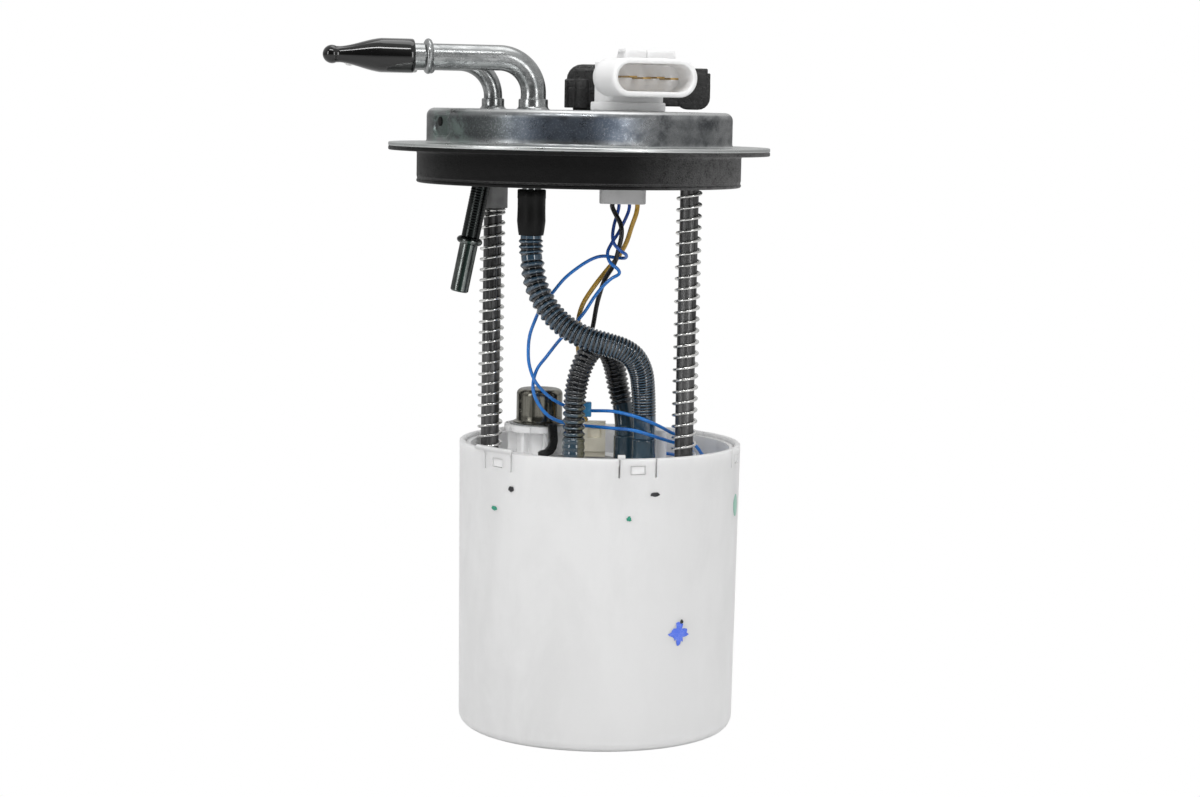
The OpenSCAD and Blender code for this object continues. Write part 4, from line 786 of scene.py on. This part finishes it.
class PUMP_OT_tubes(bpy.types.Operator):
    """Add the two bent fuel tubes with their beads and the rings brazed round them"""
    bl_idname = "pump.tubes"
    bl_label = "Fuel tubes"

    def execute(self, context):
        points = bent_line(OUTLET, 6.5)
        bead = OUTLET.reach - OUTLET.bead_back
        radii = [bead_radius((p - OUTLET.foot).dot(RUN), bead, 4.75) for p in points]
        nipple = [OUTLET.foot + upward(z) for z in (-28, -20, -10, 0, 3.4)]
        piece("outlet_pipe", pipe(nipple + points, [3.3] + [3.6] * 4 + radii,
              [2.7] * 5 + [3.85] * len(radii), 40), "tube_steel", FLANGE, ["outlet_tube"])

        outer, bore, dip = 3.5, 2.6, .6
        points = bent_line(RETURN, 9.0)
        bead = RETURN.reach - RETURN.bead_back
        radii = []
        for p in points:
            s = (p - RETURN.foot).dot(RUN)
            radii.append(bead_radius(s, bead, outer - dip) if abs(s - bead) < 1.5 else outer)
        bend = []
        for a in (STUB_LEAN, 8, 5, 2.5):
            x, z = TUBE_BEND * (cos(radians(a)) - 1), 9 - TUBE_BEND * sin(radians(a))
            bend.append(RETURN.foot + Vector((x, 0, z)))
        lean = radians(STUB_LEAN)
        way = Vector((-sin(lean), 0, -cos(lean)))
        length = (bend[0].z - STUB_END_Z) / cos(lean)
        bead = (bend[0].z - STUB_BEAD_Z) / cos(lean)
        steps = [length - .25 * i for i in range(int(length / .25))]
        ripple, pitch, chamfer = .045, 1.05, .5
        radii_down = []
        for s in steps:
            if abs(s - bead) < 1.45:
                r = bead_radius(s, bead, 3.1)
            else:
                r = outer - chamfer * (1 - min((length - s) / chamfer, 1))
            if bead - 21 < s < bead - 4:
                r += ripple * cos(2 * pi * s / pitch)
            radii_down.append(r)
        piece("return_pipe", pipe(bend[1:] + points, [outer] * (len(bend) - 1) + radii, bore, 36),
              "tube_steel", FLANGE, ["return_tube"])
        piece("return_stub", pipe([bend[0] + s * way for s in steps] + bend[:2],
              radii_down + [outer, outer], bore, 36), "stub_steel", FLANGE)

        for name, tube, r, inner, node in (("outlet_collar", OUTLET, 5.55, 4.8, "outlet_ring"),
                                           ("return_collar", RETURN, 4.3, 3.55, "return_ring")):
            ring = [(inner, COVER_TOP), (r + .8, COVER_TOP), (r + .6, 16.2), (r + .2, 16.6),
                    (r, 17.2), (r, 19.4), (r - .1, 19.75), (r - .35, 19.9), (r - .7, 19.7),
                    (r - .8, 20.2), (inner, 20.3)]
            piece(name, revolve(ring, tube.foot, 48, closed=True), "tube_steel", FLANGE, [node])
        return {"FINISHED"}


class PUMP_OT_caps(bpy.types.Operator):
    """Add the two shipping caps that are pushed on the fuel tubes"""
    bl_idname = "pump.caps"
    bl_label = "Shipping caps"

    def execute(self, context):
        for name, node, tube, r, bore, length, slot in (
                ("outlet_shipping_cap", "outlet_cap", OUTLET, 6.35, 4.85, 34, "cap_vinyl"),
                ("return_shipping_cap", "return_cap", RETURN, 4.6, 3.6, 28, "pale_vinyl")):
            begin = tube.reach - tube.bead_back + 5.3
            tip, neck, flat, slope = .54 * r, .47 * r, .36 * length, .45 * length
            profile = [(bore, .3), (r - .9, 0), (r - .3, .15), (r - .02, .7), (r, 2)]
            for i in range(17):
                t = i / 16
                profile.append((r + (neck - r) * (ease(t) * .6 + t * .4), flat + slope * t))
            ball, start = length - tip, 118
            for i in range(15):
                a = radians(start - start * i / 14)
                profile.append((max(tip * sin(a), 0.0), ball + tip * cos(a)))
            deep = tube.reach - begin + .5
            profile += [(0, deep), (bore - .3, deep), (bore, deep - .4)]
            shape = revolve(profile, sides=48, closed=True, place=along_run(tube, begin))
            piece(name, shape, slot, node, [node], sharp=60)
        return {"FINISHED"}


class PUMP_OT_plug(bpy.types.Operator):
    """Add the wiring socket with its blades, and the pressure sensor behind it"""
    bl_idname = "pump.plug"
    bl_label = "Socket and sensor"

    def execute(self, context):
        facing = shift(*SOCKET) @ rotate(SOCKET_YAW)
        lying = rotate(90, "X")
        width, height, wall, back, front, middle = 34.3, 14.2, 2.0, 8.0, 27.0, 28.5

        def oval(inset, out):
            return [facing @ lying @ Vector((x, middle + z, out)) for x, z in
                    oblong(width - inset, height - inset, (height - inset) / 2, 12)]
        loops = [oval(.8, back)]
        loops += [oval(0, back + .4 + (front - back - .8) * i / 6) for i in range(7)]
        for i in range(5):
            a = radians(180 * i / 4)
            loops.append(oval(wall * (1 - cos(a)), front - .4 + .4 * sin(a) + .01 * i))
        loops += [oval(2 * wall, front - 1 - 3 * i) for i in range(4)]
        loops += [oval(2 * wall + .6, front - SOCKET_DEPTH)]
        piece("socket_shroud", skin(loops), "white_acetal", FLANGE, ["connector_body"], sharp=50)
        stand = facing @ shift(.1, -14.5, 33.6) @ lying
        left = [(-10.7, 0), (-1.7, 0), (-1.7, 5.1), (-9.7, 5.4), (-10.7, 1.6)]
        right = [(-1.1, 0), (11, 0), (11, 1.4), (9.8, 5.2), (-1.1, 5.0)]
        under = [(-10, 0), (10, 0), (10, 4.2), (-10, 4.2)]
        rail = [prism(left, 7, .35, stand), prism(right, 7, .35, stand),
                prism(under, 6.4, .3, stand)]
        piece("socket_lock_rail", joined(*rail), "white_acetal", FLANGE, sharp=50)
        base = [block(24.2, 13.5, 15.4, 2.6, .5, facing @ shift(1.5, 0, 19)),
                block(27.2, 16.5, 3.4, 5, .6, facing @ shift(1.3, 0, COVER_TOP))]
        piece("socket_base", joined(*base), "white_acetal", FLANGE, sharp=50)
        # painted shade: the boss takes the darkened copy of the socket's acetal
        piece("socket_boss", block(17.6, 12, 34, 2.4, .5, shift(16.8, -3, BOSS_Z)), "boss_acetal_painted_shade",
              FLANGE, sharp=50)
        for i, lift in enumerate((.25, -.15, .1, -.2)):
            at = facing @ shift((i - 1.5) * 5.6, SOCKET_DEPTH - front - 5, middle - .4 + lift)
            piece(f"socket_blade_{i + 1}", block(3.4, 10, .7, .3, .2, at), "brass", FLANGE,
                  ["connector_blades"] if i == 0 else ())

        def box(x, z, w, h, r, y0, y1, edge):
            """A block with its round corners seen from the front, from y0 back to y1."""
            return block(w, h, y1 - y0, r, edge, shift(x + w / 2, y1, z + h / 2) @ lying)
        low = 16.9
        post = [(0, low), (2.9, low), (3.2, low + .4), (3.2, low + 10.6), (2.9, low + 11),
                (0, low + 11)]
        parts = [box(-2.5, low + 1.2, 47, 14, 1.5, 17.4, 33, 1.0),
                 box(-5.6, low + 2.6, 24, 14.2, 6.0, 18.2, 32.5, 1.4),
                 box(37, low + .1, 13.0, 14.4, 4.6, 17.0, 32, .8),
                 box(41, low + 9, 7.9, 7.0, .6, 17.2, 32, .5),
                 box(43.4, low + 5, 6.6, 9.2, .5, 18.4, 30, .5),
                 block(7.2, 9, 11.0, 1.2, .5, shift(-2.7, 21.4, low)),
                 block(1.3, 2, 10.6, .4, .3, shift(-5.6, 17.2, low)),
                 revolve(post, Vector((.2, 18.6, 0)), 40),
                 block(9, 9, 4, .8, .3, shift(1.5, 23, 16.05)),
                 block(16, 13, 3, 3, .3, shift(19, 25, 16.1))]
        piece("pressure_sensor_case", joined(*parts), "black_nylon", FLANGE, ["pressure_sensor"],
              sharp=50)
        dress("rubber", "sensor_seal")
        return {"FINISHED"}


class PUMP_OT_rods(bpy.types.Operator):
    """Add the guide rods, their seats and the coil springs round them"""
    bl_idname = "pump.rods"
    bl_label = "Rods and springs"

    def execute(self, context):
        wire, coil_r, steps = 1.1, 4.35, 32
        for side, (at, top, turns) in RODS.items():
            span = top - SPRING_Z
            open_pitch = (span - 3 * wire) / (turns - 2)
            points = []
            for i in range(turns * steps + 1):
                t = i / steps
                a = 2 * pi * t
                z = SPRING_Z + wire / 2 + wire * min(t, 1) + wire * max(0, t - turns + 1)
                z += open_pitch * max(0, min(t - 1, turns - 2))
                points.append(Vector((at.x + coil_r * cos(a), at.y + coil_r * sin(a), z)))
            coil = piece("coil_" + side, bar(points, wire / 2, 8), "spring_steel", FLANGE,
                         ["spring_" + side], sharp=80)
            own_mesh(coil)
            rod = [(0, ROD_END_Z)] + bow(2.9, ROD_END_Z + .6, .6, -90, 0, 3)
            rod += [(ROD_R, -130), (ROD_R, -60), (ROD_R, COVER_UNDER), (0, COVER_UNDER)]
            piece("rod_" + side, revolve(rod, at, 48), "rod_steel", FLANGE, ["guide_rod_" + side])
        dress("grey_nylon", "rod_seat_left", "rod_seat_right")
        dress("spring_steel", "rod_clips")
        return {"FINISHED"}


def corrugated(points, spacing, outer, depth, plain):
    """A hose along points. Its ribs' spacing changes along it, and close ribs are shallower.

    plain says how far up the ribs' height the smooth stretches of each half lie.
    """
    sides = 32
    fine, length = even(points, .22)
    step = length / (len(fine) - 1)
    radii, grooves, phase = [], [], 0.0
    for i in range(len(fine)):
        s = i * step
        pitch = spacing(s)
        if pitch:
            phase += step / pitch
            rib = depth * min(1, pitch / 2.5)
            wave = (.5 + .5 * cos(2 * pi * phase)) ** .75
            radii.append(outer - rib + rib * wave)
            grooves.append(1 - wave)
        else:
            radii.append(outer - depth + depth * plain[s > length / 2])
            grooves.append(0)
            phase = .5
    return bar(fine, radii, sides), length, [g for g in grooves for _ in range(sides)]


def mark_grooves(hose, grooves):
    """Keeps on the mesh how deep in a groove each vertex lies."""
    marks = hose.data.attributes.new("groove", "FLOAT", "POINT")
    marks.data.foreach_set("value", grooves)


class PUMP_OT_hoses(bpy.types.Operator):
    """Add the corrugated outlet hose and the looped pump hose with their smooth ends"""
    bl_idname = "pump.hoses"
    bl_label = "Hoses"

    def execute(self, context):
        sizes = context.scene.pump_hoses
        depth = sizes.rib_depth / MM
        first_rib, gap_start, gap_end, last_rib = 1.2, 7.4, 9.6, 93

        def outlet_spacing(s):
            if s < first_rib or gap_start < s < gap_end or s > last_rib:
                return 0
            if s <= gap_start:
                return 2.05
            return 3.1 - 1.1 * ease((s - 16) / 26) - .82 * ease((s - 42) / 22)
        shape, length, grooves = corrugated(smooth(OUTLET_ROUTE, 10), outlet_spacing,
                                            sizes.outlet_radius / MM, depth, (.35, .85))
        hose = piece("outlet_hose_ribbed", shape, "hose_blue", None, ["outlet_hose"], sharp=70)
        mark_grooves(hose, grooves)
        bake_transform(hose)
        print(f"outlet hose {length:.1f} mm")

        line = smooth(LOOP_ROUTE, 10)
        last_rib_back = even(line, 1.0)[1] - 12

        def loop_spacing(s):
            if s < .3 or s > last_rib_back:
                return 0
            return 2.6 - .85 * ease((s - 8) / 12) + .3 * ease((s - 50) / 20)
        shape, length, grooves = corrugated(line, loop_spacing, sizes.loop_radius / MM, depth,
                                            (.6, .6))
        loop = piece("pump_hose_ribbed", shape, "hose_dark", RESERVOIR, ["pump_hose"], sharp=70)
        mark_grooves(loop, grooves)
        print(f"pump hose {length:.1f} mm")

        sleeve = [(2.7, SLEEVE_Z), (4.7, -31.35), (4.95, -30), (5.25, -27.6), (5.42, -26),
                  (5.36, -24.4), (5.3, -22), (5.3, -17.6), (5.42, -17.2), (5.4, -16.4),
                  (5.4, -14.3), (5.1, -14), (2.7, -14)]
        shape = revolve(sleeve, OUTLET.foot, 48, closed=True)
        piece("outlet_hose_sleeve", shape, "sleeve_dark", FLANGE, ["outlet_sleeve"], sharp=50)
        cuffs = []
        for x, y, r, rib in ((0, -12, 4.35, .3), (19.5, 1, 4.3, 0), (26.7, -9, 4.6, 0)):
            wall = [(r - rib * (.5 - .5 * cos(2 * pi * i / 8)), CARRIER_Z + .4 + .325 * i)
                    for i in range(26)]
            cuff = [(2.65, CARRIER_Z), (r - .15, CARRIER_Z), *wall, (r - .3, CUFF_TOP - .1),
                    (2.65, CUFF_TOP)]
            cuffs.append(revolve(cuff, Vector((x, y, 0)), 40, closed=True))
        piece("hose_ends", joined(*cuffs), "hose_dark", RESERVOIR, ["hose_cuffs"], sharp=50)
        return {"FINISHED"}


class PUMP_OT_wires(bpy.types.Operator):
    """Add the four wires between the socket, the pump's plug and the level sender"""
    bl_idname = "pump.wires"
    bl_label = "Wires"

    def execute(self, context):
        sizes = context.scene.pump_hoses
        for name, route, wide, slot in (
                ("black_wire", BLACK_ROUTE, sizes.power_wire, "wire_black"),
                ("yellow_wire", YELLOW_ROUTE, sizes.power_wire, "wire_yellow"),
                ("blue_wire_a", BLUE_ROUTE_A, sizes.sender_wire, "wire_blue"),
                ("blue_wire_b", BLUE_ROUTE_B, sizes.sender_wire, "wire_blue")):
            points, length = even(smooth(route, 8), .9)
            wire = piece(name + "_lead", bar(points, wide / MM / 2, 14), slot, None, [name],
                         sharp=80)
            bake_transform(wire)
            print(f"{name} {length:.1f} mm")
        splice = piece("blue_splice", block(3.6, 3.6, 5.6, .7, .4, shift(4.7, -5.5, -100.4)),
                       "splice_blue")
        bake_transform(splice)
        return {"FINISHED"}


class PUMP_OT_reservoir(bpy.types.Operator):
    """Add the translucent reservoir with its snap latches and wire notch"""
    bl_idname = "pump.reservoir"
    bl_label = "Reservoir"

    def execute(self, context):
        foot, inner = 4.5, BASE_R - WALL
        start, height = BASE_Z + foot, RIM_Z - .35 - BASE_Z - foot
        outside = [(0, BASE_Z)] + bow(BASE_R - foot, start, foot, -90, 0, 10)
        outside += [(BASE_R + (TOP_R - BASE_R) * i / 12, start + height * i / 12)
                    for i in range(1, 13)]
        rim = [(TOP_R - .35, RIM_Z), (TOP_R - WALL + .35, RIM_Z), (TOP_R - WALL, RIM_Z - .35)]
        inside = [(inner, -214)] + bow(inner - 2, -216, 2, 0, -90, 4) + [(0, -218)]
        cutters = []
        for angle in LATCHES:
            cutters += [block(.7, 8, 9, .1, .05, on_wall(angle, x, 52, -117.2)) for x in (-7, 7)]
            cutters.append(block(5.5, 8, 3.3, .3, .05, on_wall(angle, 0, 52, -116.05)))
        cutters.append(block(9, 10, 17, .4, .05, on_wall(NOTCH_ANGLE, 0, 53, -125.2)))
        shape = revolve(outside + rim + inside, TANK, 200)
        piece("reservoir_bowl", shape, "clear_nylon", RESERVOIR, ["reservoir"],
              cutters=joined(*cutters))

        def lip(a, b, r0, r1, z0, z1):
            """A short stretch of rim, from angle a to angle b."""
            n = max(int(abs(b - a) / 1.5), 2)
            loops = []
            for i in range(n + 1):
                way = rotate(a + (b - a) * i / n) @ Vector((1, 0, 0))
                e = .25 if i not in (0, n) else .45
                loops.append([TANK + way * r + upward(z) for r, z in (
                    (r0, z0), (r1, z0), (r1, z1 - e), (r1 - e, z1), (r0 + e, z1), (r0, z1 - e))])
            return skin(loops)
        lips = [lip(-150, -127.5, 51.95, 53.9, -111.5, -109.1),
                lip(-127.5, -118, 51.95, 53.3, -111.6, -109.7),
                lip(-82.6, -79.8, 51.0, 53.2, -113, -108.9)]
        piece("reservoir_lips", joined(*lips), "clear_nylon", RESERVOIR, sharp=60)
        rails = [block(4, 3.2, 46, .3, .3, on_wall(NOTCH_ANGLE, x, 53.4, -170.2)) for x in (-9, 9)]
        piece("sender_rails", joined(*rails), "clear_nylon", RESERVOIR)
        return {"FINISHED"}


def blot(angle, z, w, h, r, lobes, rough):
    """A thin irregular dab of paint that lies on the reservoir's wall."""
    out = Vector((cos(radians(angle)), sin(radians(angle)), 0))
    side = Vector((-out.y, out.x, 0))
    centre = TANK + r * out + upward(z)
    loops = []
    for lift, k in ((0, 1.0), (.05, .97), (.07, .6), (.07, .05)):
        loop = []
        for i in range(36):
            a = 2 * pi * i / 36
            q = 1 + rough * (sin(lobes * a + angle) + .6 * sin((2 * lobes + 1) * a + 2.1 * angle)
                             + .4 * sin((4 * lobes - 1) * a + 3.7 * angle))
            x, y = .5 * w * q * k * cos(a), .5 * h * q * k * sin(a)
            sink = r - (r * r - x * x) ** .5
            loop.append(centre + x * side + upward(y) + (lift - sink) * out)
        loops.append(loop)
    return skin(loops)


class PUMP_OT_marks(bpy.types.Operator):
    """Add the dabs of inspection paint on the reservoir's wall"""
    bl_idname = "pump.marks"
    bl_label = "Paint marks"

    def execute(self, context):
        # the angle is round the wall, and w and h are the dab's width and height
        for name, angle, z, w, h, slot, lobes, rough in (
                ("mark_black_left", -127.1, -123.5, 3.0, 1.9, "ink_black", 2, .1),
                ("mark_black_right", -67.5, -123.5, 3.4, 1.8, "ink_black", 2, .1),
                ("mark_black_low", -53.7, -172.0, 1.5, 1.6, "ink_black", 3, .1),
                ("mark_green_left", -136.2, -131.6, 2.9, 1.8, "ink_green", 2, .1),
                ("mark_green_right", -78.0, -132.3, 1.8, 1.9, "ink_green", 3, .14),
                ("mark_green_side", -14.9, -132.3, 6.5, 8.5, "ink_pale", 2, .03),
                ("mark_blue", -54.9, -176.3, 7.0, 7.2, "ink_blue", 4, .24)):
            share = (RIM_Z - z) / (RIM_Z - BASE_Z)
            r = TOP_R - (TOP_R - BASE_R) * share + .01
            piece(name, blot(angle, z, w, h, r, lobes, rough), slot, RESERVOIR)
        return {"FINISHED"}


class PUMP_OT_carrier(bpy.types.Operator):
    """Dress the carrier, the filter housing and lid, and the regulator on its tower"""
    bl_idname = "pump.carrier"
    bl_label = "Carrier, filter and regulator"

    def execute(self, context):
        dress("white_acetal", "carrier", "filter_housing", "filter_lid")
        dress("cream_nylon", "guide_bushes")
        dress("filter_paper", "filter_element")
        z = TOWER_TOP
        can = ([(0, z - 8), (4.2, z - 8), (4.2, z - 5), (5, z - 5), (5, z + .6), (10.1, z + .6)]
               + bow(10.0, z + .85, .25, -90, 90, 4) + [(9.6, z + 1.2), (9.2, z + 1.4)]
               + bow(9.25, z + 1.8, .3, -90, -180, 2) + [(8.95, z + 4), (8.95, z + 10.8)]
               + bow(6.75, z + 11.6, 2.2, 0, 90, 8) + [(3.2, z + 13.8)]
               + [(2.9, z + 13.6), (1.2, z + 13.5), (0, z + 13.5)])
        piece("regulator_shell", revolve(can, REGULATOR), "regulator_steel", RESERVOIR,
              ["regulator_can"])
        plate = [(5.1, z), (11.4, z), (11.6, z + .15), (11.6, z + .42), (11.4, z + .56),
                 (5.1, z + .56)]
        piece("regulator_plate", revolve(plate, REGULATOR, 72, closed=True), "tube_steel",
              RESERVOIR)
        dress("rubber", "regulator_seal")
        strap = [(-5.4, .5), (-2.2, .4), (.2, 1.2), (1.7, 3.2), (2.3, 6.2), (2.1, 9.6), (1.8, 12.9),
                 (-1.7, 12.9), (-1.3, 9.6), (-.9, 6.4), (-1.5, 4.3), (-2.9, 3.0), (-4.3, 2.8),
                 (-5.5, 2.1)]
        facing = shift(*REGULATOR) @ rotate(REGULATOR_YAW)
        upright = facing @ shift(0, -13.7, CARRIER_Z + .1) @ rotate(90, "X")
        hook = block(3.4, 3.2, .8, .4, .25, facing @ shift(0, -12.7, z + .65))
        piece("regulator_strap", joined(prism(strap, 1.6, .3, upright), hook), "black_nylon",
              RESERVOIR, ["regulator_clip"])
        return {"FINISHED"}


class PUMP_OT_pump(bpy.types.Operator):
    """Dress the pump, its plug, the strainer, the jet pump and the floor valve"""
    bl_idname = "pump.pump"
    bl_label = "Pump"

    def execute(self, context):
        dress("tube_steel", "pump_shell", "pump_shaft")
        dress("grey_nylon", "pump_end_cap", "pump_plate", "pump_inlet_cover", "pump_impeller")
        dress("magnet", "pump_magnets")
        dress("brass", "pump_bushes")
        dress("carbon", "pump_brushes")
        dress("cream_nylon", "pump_plug", "jet_pump")
        dress("rubber", "pump_isolator", "floor_valve")
        dress("strainer_mesh", "strainer")
        dress("copper", "pump_armature", "pump_commutator")
        return {"FINISHED"}


class PUMP_OT_sender(bpy.types.Operator):
    """Dress the level sender and its float arm"""
    bl_idname = "pump.sender"
    bl_label = "Level sender"

    def execute(self, context):
        dress("cream_nylon", "sender_bracket")
        dress("card", "sender_card")
        dress("spring_steel", "sender_pin", "float_wire")
        dress("white_acetal", "float_hub")
        dress("float_foam", "float_block")
        return {"FINISHED"}


class PUMP_OT_stage(bpy.types.Operator):
    """Add the floor, the camera, the lights and the white surround"""
    bl_idname = "pump.stage"
    bl_label = "Stage"

    def execute(self, context):
        scene = context.scene
        paint = scene.pump_paint
        half, z = 3.0, BASE_Z * MM - .0002
        mesh = bpy.data.meshes.new("floor")
        mesh.from_pydata([(x * half, y * half, z) for x, y in ((-1, -1), (1, -1), (1, 1), (-1, 1))],
                         [], [(0, 1, 2, 3)])
        material = bpy.data.materials.new("stage_floor")
        t = fresh_tree(material)
        ray = t.add("ShaderNodeLightPath").outputs
        white = t.add("ShaderNodeEmission", {"Color": grey(1), "Strength": 1.0}).outputs[0]
        soft = t.add("ShaderNodeBsdfDiffuse", {"Color": grey(.82)}).outputs[0]
        seen = t.add("ShaderNodeMixShader", {0: ray["Is Camera Ray"], 1: soft, 2: white})
        t.add("ShaderNodeOutputMaterial", {"Surface": seen.outputs[0]})
        mesh.materials.append(material)
        floor = linked("floor", mesh)

        scene.world = bpy.data.worlds.new("studio")
        t = fresh_tree(scene.world)
        ray = t.add("ShaderNodeLightPath").outputs
        place = t.add("ShaderNodeTexCoord").outputs["Generated"]
        behind_camera = (-.3, -.95, .05)
        rise = t.ramp(t.axes(place)["Z"], -.3, .5)
        dim = t.ramp(t.dot(place, behind_camera), .35, .9)
        shade = t.over(t.mix(rise, grey(.3), grey(1)), grey(.04), dim, .88)
        around = t.add("ShaderNodeBackground", {"Color": shade, "Strength": paint.surround})
        white = t.add("ShaderNodeBackground", {"Color": grey(1), "Strength": 1.0})
        seen = t.add("ShaderNodeMixShader", {0: ray["Is Camera Ray"], 1: around.outputs[0],
                                             2: white.outputs[0]})
        t.add("ShaderNodeOutputWorld", {"Surface": seen.outputs[0]})

        # places, aims and sizes in metres
        for name, place, aim, size, power in (
                ("key", (-.85, -.72, .25), (0, 0, -.1), (.26, .7), paint.key_light),
                ("fill", (.58, -.95, .15), (0, 0, -.1), (.2, .7), paint.fill_light),
                ("strip", (-.1, -.62, .8), (0, 0, -.05), (.7, .11), paint.strip_light),
                ("top", (.1, .15, .95), (0, 0, 0), (.8, .5), paint.fill_light)):
            lamp = bpy.data.lights.new(name, "AREA")
            lamp.shape, lamp.size, lamp.size_y, lamp.energy = "RECTANGLE", *size, power
            lit = linked(name, lamp)
            lit.location = place
            lit.rotation_euler = (Vector(aim) - Vector(place)).to_track_quat("-Z", "Y").to_euler()

        eye, aim, roll = Vector((.0097, -.99377, .01747)), Vector((.0097, 0, -.094)), 1.1
        lens = bpy.data.cameras.new("camera")
        lens.lens, lens.sensor_width, lens.sensor_fit = 78.0, 36.0, "HORIZONTAL"
        lens.clip_start, lens.clip_end = .01, 20
        camera = linked("camera", lens)
        facing = (aim - eye).to_track_quat("-Z", "Y").to_matrix().to_4x4()
        camera.matrix_world = shift(*eye) @ facing @ rotate(roll)
        scene.camera = camera
        scene.view_settings.view_transform = "Standard"
        return {"FINISHED"}


class PUMP_PT_panel(bpy.types.Panel):
    """Lists the pieces of the fuel pump module"""
    bl_idname = "PUMP_PT_panel"
    bl_label = "Fuel pump"
    bl_space_type = "VIEW_3D"
    bl_region_type = "UI"
    bl_category = "Fuel pump"

    def draw(self, context):
        for settings in (context.scene.pump_hoses, context.scene.pump_paint):
            for name in settings.__annotations__:
                self.layout.prop(settings, name)
        for operator in OPERATORS:
            self.layout.operator(operator.bl_idname)


OPERATORS = (PUMP_OT_cover, PUMP_OT_tubes, PUMP_OT_caps, PUMP_OT_plug, PUMP_OT_rods,
             PUMP_OT_hoses, PUMP_OT_wires, PUMP_OT_reservoir, PUMP_OT_marks, PUMP_OT_carrier,
             PUMP_OT_pump, PUMP_OT_sender, PUMP_OT_stage)
CLASSES = (PumpHoseSettings, PumpPaintSettings, *OPERATORS, PUMP_PT_panel)


def register():
    for kind in CLASSES:
        bpy.utils.register_class(kind)
    bpy.types.Scene.pump_hoses = bpy.props.PointerProperty(type=PumpHoseSettings)
    bpy.types.Scene.pump_paint = bpy.props.PointerProperty(type=PumpPaintSettings)


def unregister():
    del bpy.types.Scene.pump_paint
    del bpy.types.Scene.pump_hoses
    for kind in reversed(CLASSES):
        bpy.utils.unregister_class(kind)


def main():
    """Builds every piece over the frame."""
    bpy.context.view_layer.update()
    register()
    for operator in OPERATORS:
        group, name = operator.bl_idname.split(".")
        if getattr(getattr(bpy.ops, group), name)() != {"FINISHED"}:
            raise RuntimeError(f"{operator.bl_label} didn't finish")


if __name__ == "__main__":
    main()
